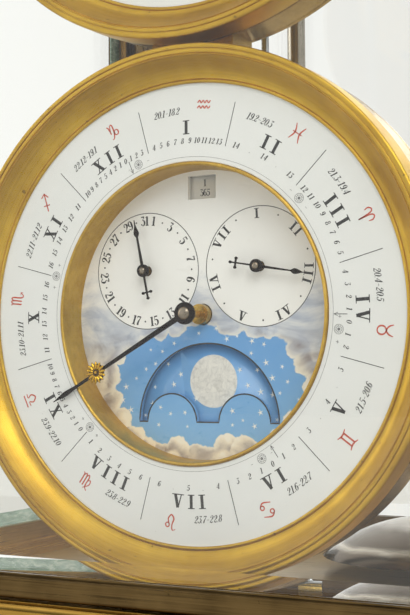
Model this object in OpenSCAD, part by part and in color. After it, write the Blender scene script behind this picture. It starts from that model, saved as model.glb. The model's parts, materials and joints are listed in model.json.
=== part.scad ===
// Calendar mantel clock: a glazed brass case with a time dial above a calendar dial.
// Millimetres. +Z is up, the front faces -Y, and the origin is under the middle of the base.

/* [Case] */
// Clear width between the corner posts
inner_w = 214; // [206:1:230]
// Clear depth between the corner posts
inner_d = 158; // [158:1:176]
// Height from the floor plate to the ceiling plate
inner_h = 321; // [321:1:340]
// Height of the floor plate above the table
base_h = 50; // [44:1:60]
// Height of the crown above the ceiling
crown_h = 44; // [40:1:56]
// Side of a square corner post
post_size = 11; // [10:0.5:14]
// How far the plinth stands out past the posts
plinth_out = 8; // [6:0.5:12]
// Wall of the hollow base and crown castings
cast_wall = 5; // [4:0.5:6]
// Height of the rim above the floor plate
rim_h = 5; // [4:0.5:7]
// Thickness of the floor and ceiling plates
plate_skin = 3; // [2:0.5:4]
// Radius of a foot
foot_r = 13; // [10:0.5:15]
// Height of a foot
foot_h = 8; // [6:0.5:12]

/* [Doors and glass] */
// Thickness of a door frame
door_t = 8; // [7:0.5:8.5]
// Width of a door rail or side rail
rail_w = 7; // [6.5:0.5:10]
// Thickness of a glass pane
glass_t = 4; // [3:0.5:4]
// Width of the bevel round a pane
bevel_w = 7.5; // [5:0.5:12]
// How much thinner a pane is at its edge
bevel_drop = 1.8; // [1:0.1:2]
// Depth of the groove that holds a pane
groove_d = 3; // [2:0.5:4]
// Running gap round a door
door_gap = 0.4; // [0.3:0.05:0.6]
// Radius of a hinge pin
pin_r = 1.5; // [1.2:0.1:2]
// Radius of a door knob
knob_r = 4; // [3:0.5:5]

/* [Dials] */
// Outer radius of a bezel
bezel_r = 75; // [74:0.5:76]
// How far a bezel stands in front of the enamel
bezel_front = 6; // [5:0.5:8]
// Visible radius of the enamel
dial_r = 64.8; // [63:0.2:66]
// Radius of the recessed centre
recess_r = 41.6; // [40.8:0.2:42.4]
// Depth of the recessed centre
recess_d = 9; // [8:0.5:9]
// Thickness of the enamelled plates
enamel_t = 1.5; // [1:0.1:1.5]
// Distance between the two dial centres
dial_pitch = 152; // [152:1:156]
// Gap between the lower bezel and the floor
floor_gap = 9; // [8:0.5:12]
// Distance from the inner face of the posts to the enamel
set_back = 16.5; // [15:0.5:22]
// Depth of a drum behind the enamel
drum_d = 18; // [17.5:0.5:20]
// Wall of a drum
drum_wall = 3.4; // [2.5:0.1:3.6]

/* [Calendar works] */
// Distance of the date and day centres from the middle line
sub_x = 18.3; // [18.2:0.1:18.6]
// Height of the date and day centres above the middle
sub_z = 13.1; // [12.9:0.1:13.3]
// Drop of the moon centre below the middle
moon_drop = 30.8; // [30.5:0.1:31]
// Shift of the moon centre to the right of the middle
moon_x = 1.4; // [0.6:0.2:1.6]
// Outer radius of the moon opening
moon_open_r = 22.5; // [21:0.5:22.8]
// Radius of the two humps that hide the moon
hump_r = 8.1; // [7.8:0.1:8.6]
// Radius of the circle that the humps stand on
moon_path = 11.7; // [11.5:0.1:12]
// Height of the leap year centre above the middle
leap_z = 22; // [22:0.1:22.2]
// Radius of the calendar back plate
cal_back_r = 55; // [54.5:0.5:56]

/* [Time works] */
// Radius of the movement plates
plate_r = 39; // [39:0.5:40]
// Clear distance between the movement plates
plate_gap = 37.5; // [37.5:0.5:40]
// Thickness of a movement plate
plate_t = 2.5; // [2:0.1:3]

/* [Pendulum and bell] */
// Height of the pendulum's pivot above the time centre
pivot_z = 36.5; // [36.4:0.1:36.6]
// Length of the pendulum from its pivot to the middle of the bob
pendulum_l = 200; // [190:1:206]
// Radius of the pendulum rod
rod_r = 3; // [2.5:0.1:3.2]
// Radius of the pendulum bob
bob_r = 28; // [22:0.5:30]
// Thickness of the pendulum bob
bob_t = 13; // [10:0.5:14]
// Radius of the bell
bell_r = 36; // [30:0.5:36]
// Height of the bell
bell_h = 13; // [11:0.5:16]
// Height of the bell's rim above the floor plate
bell_lift = 5; // [4:0.5:7]
// Distance of the bell's middle to the right of the pendulum
bell_x = 34; // [33:0.5:36]

/* [Hands] */
// Length of the year hand from its centre to its tip
year_hand_l = 51; // [48:0.5:54]
// Length of the date hand
date_hand_l = 15.2; // [14:0.2:16]
// Length of the day hand
day_hand_l = 16; // [14:0.2:16.4]
// Length of the tails of the date and day hands
sub_tail_l = 8; // [6:0.5:9]
// Length of the minute hand
minute_hand_l = 57; // [54:0.5:60]
// Length of the hour hand
hour_hand_l = 40; // [36:0.5:41]
// Direction of the year hand, clockwise from twelve
year_angle = 240.5; // [0:0.5:360]
// Direction of the date hand, clockwise from twelve
date_angle = 348.6; // [0:0.2:360]
// Direction of the day hand, clockwise from twelve
day_angle = 99.6; // [0:0.2:360]
// Direction of the hour hand, clockwise from twelve
hour_angle = 305; // [0:1:360]
// Direction of the minute hand, clockwise from twelve
minute_angle = 60; // [0:1:360]

/* [Hidden] */
$fn = 72;

// Fits
shaft_gap = 0.05;
seat_gap = 0.02;
run_gap = 0.3;
shake = 0.3;
cal_shake = 0.4;

// Depth of a cut that goes through everything behind a dial
deep = 80;

// Places worked out from the sizes above
floor_z = base_h;
rim_z = base_h + rim_h;
ceiling_z = base_h + inner_h;
half_w = inner_w / 2;
half_d = inner_d / 2;
body_w = inner_w + 2 * post_size;
body_d = inner_d + 2 * post_size;
cal_z = floor_z + floor_gap + bezel_r;
time_z = cal_z + dial_pitch;
enamel_y = set_back - half_d;
drum_r = bezel_r - 0.7;
drum_in = drum_r - drum_wall;
bezel_back = 3.5;

// Doors: the frame stands in the depth of the posts and turns on pins in one edge
door_y = half_d + post_size - door_t / 2 - 1;
door_x = half_w - door_gap;
hinge_x = door_x - door_t / 2;
door_low = rim_z + door_gap;
door_high = ceiling_z - door_gap;
pin_reach = rail_w - groove_d - 0.5;
pin_seat = 3;

// Depths behind the enamel of the calendar works
disc_d = recess_d + enamel_t + 0.5;
disc_t = 0.8;
cal_plate_d = disc_d + disc_t + 0.7;
cal_plate_t = 2;
wheel_t = 1.1;
layer_step = 1.8;
layer_a = cal_plate_d + cal_plate_t + 0.7;
layer_b = layer_a + layer_step;
layer_c = layer_b + layer_step;
layer_d = layer_c + layer_step;
layer_e = layer_d + layer_step;
cal_back_d = layer_e + wheel_t + 1;
lever_d = cal_back_d + cal_plate_t + 1.5;
lever_t = 1.5;

// Depths behind the enamel of the time works
front_plate_d = drum_d + seat_gap;
bay_d = front_plate_d + plate_t;
back_plate_d = bay_d + plate_gap;
back_d = back_plate_d + plate_t;
motion_d = 14.6;
pendulum_d = back_d + 15.5;

// Wheel centres and teeth of the calendar works, in the plane of the dial
day_p = [sub_x, sub_z];
date_p = [-sub_x, sub_z];
year_p = [0, 0];
moon_p = [moon_x, -moon_drop];
leap_p = [0, leap_z];
year_n = 50;
red_pinion_n = 10;
red_n = 73;
day_pinion_n = 7;
moon_pinion_n = 14;
idler_n = 68;
moon_n = 118;
leap_pinion_n = 12;
leap_n = 48;
year_m = 0.7;
red_m = 0.5;
moon_m = 0.36;
leap_m = 2 * leap_z / (leap_pinion_n + leap_n);
red_p = third_point(day_p, year_p, red_m * (red_n + day_pinion_n) / 2,
  year_m * (year_n + red_pinion_n) / 2, 1);
idler_p = third_point(day_p, moon_p, moon_m * (moon_pinion_n + idler_n) / 2,
  moon_m * (idler_n + moon_n) / 2, 1);
star_r = 14;
sub_hand_d = recess_d - 2.2;

// Wheel centres and teeth of the time works
barrel_n = 80;
train_n = 80;
train_pinion_n = 8;
barrel_pinion_n = 10;
barrel_m = 0.4;
centre_m = 0.35;
third_m = 0.3;
pin_n = 64;
fly_pinion_n = 8;
pin_m = 0.35;
barrel_span = barrel_m * (barrel_n + barrel_pinion_n) / 2;
going_p = polar(barrel_span, -20);
strike_p = polar(barrel_span, 200);
centre_p = [0, 0];
third_p = polar(centre_m * (train_n + train_pinion_n) / 2, 63);
escape_p = [0, third_p[1] + sqrt(pow(third_m * (train_n + train_pinion_n) / 2, 2)
  - pow(third_p[0], 2))];
pin_p = strike_p + polar(barrel_span, 100);
fly_p = pin_p + polar(pin_m * (pin_n + fly_pinion_n) / 2, 78);
pallet_p = [0, pivot_z];
hammer_p = [-34, 6];
barrel_r = 14.3;
escape_r = 9.5;
escape_n = 40;
pin_circle_r = 9.5;
cannon_n = 14;
motion_n = 42;
motion_pinion_n = 12;
hour_n = 48;
motion_m = 0.4;
motion_span = motion_m * (cannon_n + motion_n) / 2;
hour_m = 2 * motion_span / (motion_pinion_n + hour_n);
motion_p = [0, -motion_span];
square_r = 2.4;

// Colours
gilt = [0.72, 0.58, 0.30];
bronze = [0.34, 0.28, 0.19];
taupe = [0.60, 0.56, 0.49];
steel = [0.70, 0.71, 0.72];
blued = [0.12, 0.12, 0.15];
enamel_white = [0.90, 0.90, 0.87];
sky = [0.42, 0.62, 0.78];
glass_tint = [0.80, 0.90, 0.86, 0.35];

// Points and directions

// Point at a distance and an anticlockwise angle from three o'clock
function polar(r, a) = [r * cos(a), r * sin(a)];

// Direction from one point to another
function heading(p, q) = atan2(q[1] - p[1], q[0] - p[0]);

// Point at given distances from two others, on one side of the line between them
function third_point(p, q, from_p, from_q, side) =
  let (gap = norm(q - p))
  let (u = (q - p) / gap)
  let (along = (from_p * from_p - from_q * from_q + gap * gap) / (2 * gap))
  let (off = sqrt(from_p * from_p - along * along))
  p + along * u + side * off * [-u[1], u[0]];

// Turn of a wheel whose teeth fall between those of the wheel that drives it
function mate(line, drive_n, drive_turn, n) =
  line + 180 - 360 / n * (0.5 - (line - drive_turn) * drive_n / 360);

// Points along an arc of a moulding, from one corner to the next, bulging or hollow
function cove(p, q, steps, bulge) =
  [for (i = [0:steps]) let (t = i / steps)
    [p[0] + (q[0] - p[0]) * (bulge ? sin(90 * t) : 1 - cos(90 * t)),
     p[1] + (q[1] - p[1]) * (bulge ? 1 - cos(90 * t) : sin(90 * t))]];

// Half round bead that stands out from a wall between two heights
function bead(x, low, high, out, steps) =
  [for (i = [0:steps]) let (a = 180 * i / steps)
    [x + out * sin(a), (low + high) / 2 - (high - low) / 2 * cos(a)]];

// Half round bead that stands forward between two radii
function bead_over(near, far, low, high, steps) =
  [for (i = [0:steps]) let (a = 180 * i / steps)
    [(near + far) / 2 - (far - near) / 2 * cos(a), low + high * sin(a)]];

// Half section of a low dome of a given radius and height, standing on a level
function dome(r, low, high) = concat([[0, low]],
  [for (a = [0:15:75]) [r * cos(a), low + high * sin(a)]], [[0, low + high]]);

// Frames and simple solids

// Plane of a dial: X right, Y up, Z forwards, with the enamel at zero
module on_dial(z) {
  translate([0, enamel_y, z]) rotate([90, 0, 0]) children();
}

// Disc between two depths behind the enamel
module disc(p, r, near, far) {
  translate([p[0], p[1], -far]) cylinder(h = far - near, r = r);
}

// Ring between two depths behind the enamel
module ring(p, r, bore, near, far) {
  difference() {
    disc(p, r, near, far);
    disc(p, bore, near - 1, far + 1);
  }
}

// Flat shape between two depths behind the enamel
module sheet(p, near, far) {
  translate([p[0], p[1], -far]) linear_extrude(far - near) children();
}

// Turned section, with radius across and forward distance up
module turned(p) {
  translate([p[0], p[1], 0]) rotate_extrude() children();
}

// Copies at four corners
module four(x, y) {
  for (sx = [-1, 1], sy = [-1, 1]) translate([sx * x, sy * y, 0]) children();
}

// Mitred moulding round a rectangle: the section gives the distance out at each height
module moulding(w, d, section) {
  intersection() {
    moulding_side(d, w + 100, section);
    rotate([0, 0, 90]) moulding_side(w, d + 100, section);
  }
}

// Straight moulding with the section on both sides
module moulding_side(across, length, section) {
  right = [for (p = section) [across / 2 + p[0], p[1]]];
  left = [for (i = [len(section) - 1:-1:0]) [-across / 2 - section[i][0], section[i][1]]];
  rotate([90, 0, 90]) translate([0, 0, -length / 2]) linear_extrude(length)
    polygon(concat(right, left));
}

// Toothed wheels

// Outline of a wheel with straight sided teeth
module toothed(n, m) {
  pitch = 360 / n;
  few = n < 20;
  root = m * (n / 2 - (few ? 1.3 : 1.2));
  tip = m * (n / 2 + (few ? 0.55 : 0.85));
  points = few
    ? [[root, -0.17], [m * n / 2, -0.17], [tip, -0.08], [tip, 0.08], [m * n / 2, 0.17], [root, 0.17]]
    : [[root, -0.27], [m * n / 2, -0.18], [tip, -0.06], [tip, 0.06], [m * n / 2, 0.18], [root, 0.27]];
  polygon([for (i = [0:n - 1], p = points) polar(p[0], (i + p[1]) * pitch)]);
}

// Wheel with crossings, its tooth turned to a given direction
module wheel(p, n, m, turn, near, far, spokes, hub, bore) {
  rim_in = m * n / 2 - m * 1.2 - max(1.2, m * n / 20);
  sheet(p, near, far) difference() {
    rotate(turn) toothed(n, m);
    circle(bore);
    if (spokes > 0) difference() {
      circle(rim_in);
      circle(hub);
      for (i = [0:spokes - 1]) rotate(i * 360 / spokes + 20) translate([0, -hub * 0.3])
        square([rim_in, hub * 0.6]);
    }
  }
}

// Pinion cut on an arbor
module pinion(p, n, m, turn, near, far, bore) {
  sheet(p, near, far) difference() {
    rotate(turn) toothed(n, m);
    if (bore > 0) circle(bore);
  }
}

// Arbor with a thin pivot at each end, running in two plates
module arbor(p, r, near, far, pivot_near, pivot_far, pivot_r) {
  disc(p, r, near, far);
  disc(p, pivot_r, pivot_near, near);
  disc(p, pivot_r, far, pivot_far);
}

// Hand pointing up: a slim blade between two half widths, with a swelling near its tip
module blade(length, root_w, tip_w) {
  polygon([[-root_w, 0], [-tip_w, length * 0.72], [-tip_w * 2, length * 0.8], [0, length],
    [tip_w * 2, length * 0.8], [tip_w, length * 0.72], [root_w, 0]]);
}

// Case

// Section of the base, from the bottom up
function base_section() = concat(
  [[plinth_out, foot_h], [plinth_out, foot_h + 11]],
  cove([plinth_out - 1, foot_h + 12.5], [3, base_h - 17], 8, false),
  [[3.6, base_h - 17], [3.6, base_h - 14.5], [2.2, base_h - 14.5], [2.2, base_h - 2.4],
   [1, base_h - 2.4], [1, base_h + 0.6]],
  bead(1.2, base_h + 0.8, rim_z - 0.4, 1.5, 8),
  [[0, rim_z - 0.4], [0, rim_z]]
);

module base_plinth() {
  color(gilt) difference() {
    moulding(body_w, body_d, base_section());
    translate([-half_w, -half_d, floor_z - plate_skin]) cube([inner_w, inner_d, rim_h + plate_skin + 1]);
    base_hollow();
    four(body_w / 2 - foot_r, body_d / 2 - foot_r)
      translate([0, 0, foot_h - 1]) cylinder(h = cast_wall + 2, r = foot_r - 7);
    hinge_holes(rim_z - pin_seat, rim_z + 1);
  }
}

// Hollow of the base, with a ledge left all round for the floor plate
module base_hollow() {
  low_w = body_w + 2 * plinth_out - 2 * cast_wall;
  low_d = body_d + 2 * plinth_out - 2 * cast_wall;
  translate([-half_w + 4, -half_d + 4, foot_h - 1]) cube([inner_w - 8, inner_d - 8, base_h]);
  translate([-low_w / 2, -low_d / 2, foot_h + cast_wall])
    cube([low_w, low_d, 11 - cast_wall]);
}

// Holes for the hinge pins, on opposite corners front and rear
module hinge_holes(low, high) {
  for (side = [-1, 1]) translate([-side * hinge_x, side * door_y, low])
    cylinder(h = high - low, r = pin_r + seat_gap);
}

module feet() {
  color(gilt) four(body_w / 2 - foot_r, body_d / 2 - foot_r) rotate_extrude() polygon(concat(
    [[0, 0], [foot_r - 3, 0]],
    bead(foot_r - 3, 0.6, foot_h - 1.6, 3, 8),
    [[foot_r - 4, foot_h - 1.6], [foot_r - 4, foot_h], [foot_r - 7 - run_gap, foot_h],
     [foot_r - 7 - run_gap, foot_h + cast_wall - 1], [0, foot_h + cast_wall - 1]]
  ));
}

module floor_plate() {
  color(taupe) translate([0, 0, floor_z - plate_skin]) difference() {
    translate([-half_w + seat_gap, -half_d + seat_gap, 0])
      cube([inner_w - 2 * seat_gap, inner_d - 2 * seat_gap, plate_skin]);
    four(half_w - 8, half_d - 8) translate([0, 0, plate_skin - 0.8]) cylinder(h = 2, r = 2.2);
  }
}

module corner_posts() {
  color(gilt) four(half_w + post_size / 2, half_d + post_size / 2) corner_post();
}

// Square post with a quirk bead down its outer corner and grooves for the panes
module corner_post() {
  translate([0, 0, rim_z]) linear_extrude(ceiling_z - rim_z) difference() {
    square(post_size, center = true);
    for (a = [0:90:270]) rotate(a) translate([post_size / 2 - 1.6, post_size / 2 - 0.5])
      square([0.7, 1]);
    for (s = [-1, 1])
      translate([-glass_t / 2 - seat_gap, s * (post_size / 2 - groove_d / 2 + 0.5) - groove_d / 2 - 0.5])
      square([glass_t + 2 * seat_gap, groove_d + 1]);
  }
}

module side_rails() {
  color(bronze) for (side = [-1, 1]) {
    side_rail(side, rim_z, rim_z + rail_w, rim_z + rail_w - groove_d);
    side_rail(side, ceiling_z - rail_w, ceiling_z, ceiling_z - rail_w - 1);
  }
}

// One rail between two posts, with a groove for the edge of the pane
module side_rail(side, low, high, groove) {
  wide = post_size - 3;
  translate([side * (half_w + post_size / 2), 0, 0]) difference() {
    translate([-wide / 2, -half_d + seat_gap, low]) cube([wide, inner_d - 2 * seat_gap, high - low]);
    translate([-glass_t / 2 - seat_gap, -half_d, groove])
      cube([glass_t + 2 * seat_gap, inner_d, groove_d + 1]);
  }
}

// Bevelled pane standing in the XZ plane, with its bevel to the front
module pane(w, h) {
  intersection() {
    translate([0, 0, -h / 2]) linear_extrude(h) polygon(pane_section(w));
    rotate([90, 0, 90]) translate([0, 0, -w / 2]) linear_extrude(w)
      polygon([for (p = pane_section(h)) [p[1], p[0]]]);
  }
}

// Section of a pane: its span across and its thickness up
function pane_section(span) = [
  [-span / 2, glass_t / 2], [span / 2, glass_t / 2], [span / 2, bevel_drop - glass_t / 2],
  [span / 2 - bevel_w, -glass_t / 2], [bevel_w - span / 2, -glass_t / 2],
  [-span / 2, bevel_drop - glass_t / 2]
];

module side_pane() {
  h = ceiling_z - rim_z - 2 * (rail_w - groove_d) - 2 * seat_gap;
  color(glass_tint) translate([0, 0, (ceiling_z + rim_z) / 2]) rotate([0, 0, 90])
    pane(inner_d + 2 * groove_d - 2 * seat_gap, h);
}

module left_glass() {
  translate([-half_w - post_size / 2, 0, 0]) rotate([0, 0, 180]) side_pane();
}

module right_glass() {
  translate([half_w + post_size / 2, 0, 0]) side_pane();
}

module ceiling_plate() {
  color(taupe) difference() {
    translate([-body_w / 2, -body_d / 2, ceiling_z]) cube([body_w, body_d, plate_skin]);
    hinge_holes(ceiling_z - 1, ceiling_z + pin_seat + 1);
  }
}

// Section of the crown, from the bottom up
function crown_section() = concat(
  [[0, ceiling_z + plate_skin], [0, ceiling_z + plate_skin + 1]],
  bead(0.4, ceiling_z + plate_skin + 1, ceiling_z + plate_skin + 5, 1.8, 8),
  [[0.6, ceiling_z + plate_skin + 5], [0.6, ceiling_z + 14]],
  cove([0.6, ceiling_z + 14], [8, ceiling_z + crown_h - 16], 8, false),
  [[9, ceiling_z + crown_h - 16], [9, ceiling_z + crown_h - 10], [7, ceiling_z + crown_h - 9]],
  cove([6, ceiling_z + crown_h - 9], [-8, ceiling_z + crown_h - 2.5], 6, true),
  [[-9, ceiling_z + crown_h - 2.5], [-9, ceiling_z + crown_h]]
);

module crown() {
  color(gilt) difference() {
    moulding(body_w, body_d, crown_section());
    translate([-half_w, -half_d, ceiling_z]) cube([inner_w, inner_d, crown_h - cast_wall]);
    hinge_holes(ceiling_z, ceiling_z + pin_seat + 1);
  }
}

module door_pins() {
  color(steel) for (side = [-1, 1]) translate([-side * hinge_x, side * door_y, 0]) {
    translate([0, 0, rim_z - pin_seat]) cylinder(h = pin_seat + door_gap + pin_reach, r = pin_r);
    translate([0, 0, ceiling_z - door_gap - pin_reach])
      cylinder(h = pin_reach + door_gap + pin_seat, r = pin_r);
  }
}

// Door frame: rounded on the hinge edge, square on the other, with a groove for the pane
module door_frame() {
  w = 2 * door_x;
  h = door_high - door_low;
  translate([0, 0, door_low]) difference() {
    union() {
      translate([-door_x, -door_y - door_t / 2, 0]) cube([w - door_t / 2, door_t, h]);
      translate([hinge_x, -door_y, 0]) cylinder(h = h, r = door_t / 2);
    }
    translate([-door_x + rail_w, -door_y - door_t, rail_w])
      cube([w - 2 * rail_w, 2 * door_t, h - 2 * rail_w]);
    translate([-door_x + rail_w - groove_d, -door_y - glass_t / 2 - seat_gap, rail_w - groove_d])
      cube([w - 2 * (rail_w - groove_d), glass_t + 2 * seat_gap, h - 2 * (rail_w - groove_d)]);
    translate([hinge_x, -door_y, -1]) cylinder(h = pin_reach + run_gap + 1, r = pin_r + shaft_gap);
    translate([hinge_x, -door_y, h - pin_reach - run_gap])
      cylinder(h = pin_reach + run_gap + 1, r = pin_r + shaft_gap);
  }
}

// Turned knob on the free stile
module door_knob() {
  face = door_y + door_t / 2;
  translate([-door_x + rail_w / 2, -face + 0.1, (floor_z + ceiling_z) / 2]) rotate([90, 0, 0])
    rotate_extrude() polygon(concat(
      [[0, 0], [knob_r - 0.6, 0], [knob_r - 0.6, 1], [1.6, 1.6], [1.6, 3.4]],
      bead(knob_r - 2.4, 3.4, 8.4, 2.4, 8),
      [[0, 8.4]]
    ));
}

module door_pane() {
  h = door_high - door_low - 2 * (rail_w - groove_d) - 2 * seat_gap;
  color(glass_tint) translate([0, -door_y, (door_high + door_low) / 2])
    pane(2 * (door_x - rail_w + groove_d) - 2 * seat_gap, h);
}

module front_door_frame() {
  color(bronze) door_frame();
  color(bronze) door_knob();
}

module front_glass() {
  door_pane();
}

module rear_door_frame() {
  color(bronze) rotate([0, 0, 180]) door_frame();
  color(bronze) rotate([0, 0, 180]) door_knob();
}

module rear_glass() {
  rotate([0, 0, 180]) door_pane();
}

// Blocks that carry the drums: one on the floor, one between them, one under the ceiling
module drum_mounts() {
  mount_w = 26;
  near = bezel_back + run_gap;
  far = drum_d - 2;
  color(gilt) {
    mount_block(mount_w, floor_z, cal_z, near, far, 1);
    mount_block(mount_w, time_z, ceiling_z, near, far, -1);
    difference() {
      on_dial(0) sheet([0, 0], near, far)
        translate([-mount_w / 2, cal_z]) square([mount_w, dial_pitch]);
      for (z = [cal_z, time_z]) on_dial(z) disc([0, 0], drum_r + seat_gap, near - 1, far + 1);
    }
  }
}

// Block between a flat plate and the round of a drum, with a foot along the plate
module mount_block(w, low, high, near, far, way) {
  flat = way > 0 ? low : high - 2.5;
  z = way > 0 ? high : low;
  difference() {
    union() {
      on_dial(0) sheet([0, 0], near, far) translate([-w / 2, low]) square([w, high - low]);
      on_dial(0) sheet([0, 0], near - 1.5, far + 1.5) translate([-w * 0.8, flat]) square([w * 1.6, 2.5]);
    }
    on_dial(z) disc([0, 0], drum_r + seat_gap, near - 4, far + 4);
  }
}

// Bell on the floor, dome up, behind and to the right of the pendulum
bell_gap = 1.5;
bell_p = [bell_x, door_y - door_t / 2 - bell_gap - bell_r];
bell_low = floor_z + bell_lift;
bell_wall = 1.6;
strike_up = 4.5;

module bell() {
  rise = (bell_r * bell_r + bell_h * bell_h) / (2 * bell_h);
  color(steel) translate([bell_p[0], bell_p[1], bell_low + bell_h - rise]) difference() {
    intersection() {
      sphere(rise, $fn = 180);
      translate([0, 0, rise - bell_h]) cylinder(h = bell_h + 1, r = bell_r + 5);
    }
    sphere(rise - bell_wall, $fn = 180);
    translate([0, 0, rise - bell_wall - 1]) cylinder(h = bell_wall + 3, r = 2 + seat_gap);
  }
}

module bell_post() {
  under = bell_low + bell_h - bell_wall - 0.1;
  color(gilt) translate([bell_p[0], bell_p[1], 0]) rotate_extrude() polygon([
    [0, floor_z], [7, floor_z], [7, floor_z + 1.5], [3.4, floor_z + 3], [3.4, under], [2, under],
    [2, under + bell_wall + 0.2], [4, under + bell_wall + 0.3], [4, under + bell_wall + 1.6],
    [2.4, under + bell_wall + 2.6], [0, under + bell_wall + 2.8]
  ]);
}

// Dials, the same for the time and the calendar

bezel_bead = 1;
bezel_step = 1.8;
seat_w = 1.6;

// Section of a bezel: radius across, forward distance up
function bezel_section() =
  let (f = bezel_front)
  let (lip = dial_r)
  let (slope_r = bezel_r - 3.4)
  let (foot = lip + bezel_bead + 0.2)
  concat(
    [[lip, 0.1]],
    bead_over(lip, lip + bezel_bead, 0.5, 0.4, 6),
    [for (i = [0:10]) let (t = i / 10)
      [foot + (slope_r - foot) * t, 0.7 + (f - 0.9) * pow(t, 1.7)]],
    [[slope_r + 0.2, f - 0.5], [slope_r + 0.5, f - 0.5], [slope_r + 0.7, f],
     [slope_r + 1.4, f], [slope_r + 1.6, f - 0.4], [slope_r + 1.9, f - 0.4], [slope_r + 2.1, f],
     [bezel_r - 0.6, f], [bezel_r, f - 0.7], [bezel_r, -bezel_back], [drum_in - 0.6, -bezel_back],
     [drum_in - 0.6, -bezel_step], [lip + seat_w, -bezel_step], [lip + seat_w, 0.1]]
  );

module bezel(z) {
  color(gilt) on_dial(z) turned([0, 0]) polygon(bezel_section());
}

module calendar_bezel() {
  bezel(cal_z);
}

module time_bezel() {
  bezel(time_z);
}

// Band of a drum, with a step that seats in the bezel
module drum_band(z) {
  color(gilt) on_dial(z) turned([0, 0]) polygon([
    [drum_r, -bezel_back - seat_gap], [drum_r, 0.6 - drum_d], [drum_r - 0.6, -drum_d],
    [drum_in, -drum_d], [drum_in, -bezel_back - seat_gap]
  ]);
}

module calendar_drum() {
  drum_band(cal_z);
}

// The time drum has a back that carries the movement
module time_drum() {
  drum_band(time_z);
  color(gilt) on_dial(time_z) difference() {
    disc([0, 0], drum_in, drum_d - enamel_t, drum_d);
    disc([0, 0], plate_r - 4, 0, drum_d + 1);
  }
}

// Width of the bead that edges the hole in an enamelled ring
bead_w = 1.15;

// Enamelled ring with the wide hole for the recessed centre
module enamel_ring(z) {
  color(enamel_white) on_dial(z) ring([0, 0], dial_r + 1.5, recess_r + bead_w + 0.05, 0, enamel_t);
}

module calendar_enamel() {
  enamel_ring(cal_z);
}

module time_enamel() {
  enamel_ring(time_z);
}

// Polished ring that walls the recess, with a bead in front and a flange behind the enamel
module recess_ring(z, feet_far) {
  back = recess_d + enamel_t;
  color(gilt) on_dial(z) {
    turned([0, 0]) polygon([
      [recess_r - 0.1, -recess_d], [recess_r, -0.6], [recess_r + 0.3, 0.4], [recess_r + 0.7, 0.7],
      [recess_r + bead_w, 0.3], [recess_r + bead_w, -enamel_t - seat_gap],
      [recess_r + 5, -enamel_t - seat_gap], [recess_r + 5, -enamel_t - 1.5],
      [recess_r + 2.2, -enamel_t - 1.5], [recess_r + 2.2, -back - 0.4], [recess_r + 1.1, -back - 0.4],
      [recess_r + 1.1, -recess_d]
    ]);
    for (a = [45:90:315]) disc(polar(dial_r - 6, a), 1.8, enamel_t + seat_gap, feet_far - seat_gap);
    for (a = [45:90:315]) disc(polar(recess_r + 2.1, a), 0.9, back - 4, feet_far - seat_gap);
  }
}

module recess_rings() {
  recess_ring(cal_z, cal_plate_d);
  recess_ring(time_z, drum_d - enamel_t);
}

// Plain recessed centre plate with the hole of the middle pipe
module centre_disc(hole_r) {
  difference() {
    disc([0, 0], recess_r + 1, recess_d + seat_gap, recess_d + enamel_t);
    disc([0, 0], hole_r, 0, deep);
  }
}

module calendar_centre() {
  color(enamel_white) on_dial(cal_z) difference() {
    centre_disc(year_pipe_r + 0.2);
    for (p = [day_p, date_p]) disc(p, 1.5, 0, deep);
    sheet([0, 0], 0, deep) moon_opening();
    sheet([0, 0], 0, deep) translate([-window_w / 2, window_z - window_h / 2])
      square([window_w, window_h]);
  }
}

window_w = 9;
window_h = 6.8;
window_z = 36.6;
year_pipe_r = 2.9;

// Half disc with a hump at each side, behind which the moon rises and sets
module moon_opening() {
  translate(moon_p) difference() {
    intersection() {
      circle(moon_open_r);
      translate([-moon_open_r, 0]) square([2 * moon_open_r, moon_open_r]);
    }
    for (s = [-1, 1]) translate([s * moon_path, 0]) circle(hump_r);
  }
}

module time_centre() {
  color(enamel_white) on_dial(time_z) difference() {
    centre_disc(hour_pipe_r + 0.4);
    for (p = [going_p, strike_p]) disc(p, square_r + 1.2, 0, deep);
  }
}

// Calendar works

cal_arbor_r = 1.0;
cal_pivot_r = 0.7;

// Holes through the front plate for every arbor
module cal_front_holes() {
  for (p = [day_p, date_p, moon_p, leap_p, year_p])
    disc(p, cal_arbor_r + shaft_gap, 0, deep);
}

module calendar_front_plate() {
  color(gilt) on_dial(cal_z) {
    difference() {
      disc([0, 0], drum_in - seat_gap, cal_plate_d, cal_plate_d + cal_plate_t);
      cal_front_holes();
    }
    disc(red_p, cal_arbor_r, cal_plate_d + cal_plate_t, layer_c - 0.5);
    difference() {
      disc([0, 0], year_pipe_r, recess_d - 3, cal_plate_d);
      cal_front_holes();
      ring([0, 0], 20, year_pipe_r - 0.4, recess_d - 3.2, recess_d - 2.4);
    }
  }
}

module calendar_back_plate() {
  back = cal_back_d + cal_plate_t;
  color(gilt) on_dial(cal_z) {
    difference() {
      disc([0, 0], cal_back_r, cal_back_d, back);
      for (p = [day_p, date_p, moon_p, leap_p, year_p]) disc(p, cal_pivot_r + shaft_gap, 0, deep);
      for (s = [-1, 1]) sheet([s * lever_tip[0], lever_tip[1]], 0, deep) square([12, 14], center = true);
    }
    disc(idler_p, cal_arbor_r, layer_d - cal_shake, cal_back_d);
    disc(lever_p, 1.5, back, lever_d + lever_t + 0.6);
    disc(lever_p, 2.6, lever_d + lever_t + 0.6, lever_d + lever_t + 1.4);
    for (a = [45:90:315]) {
      disc(polar(cal_back_r - 4, a), 2.5, cal_plate_d + cal_plate_t, cal_back_d);
      disc(polar(cal_back_r - 4, a), 2.2, back, back + 1.2);
    }
  }
}

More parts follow.
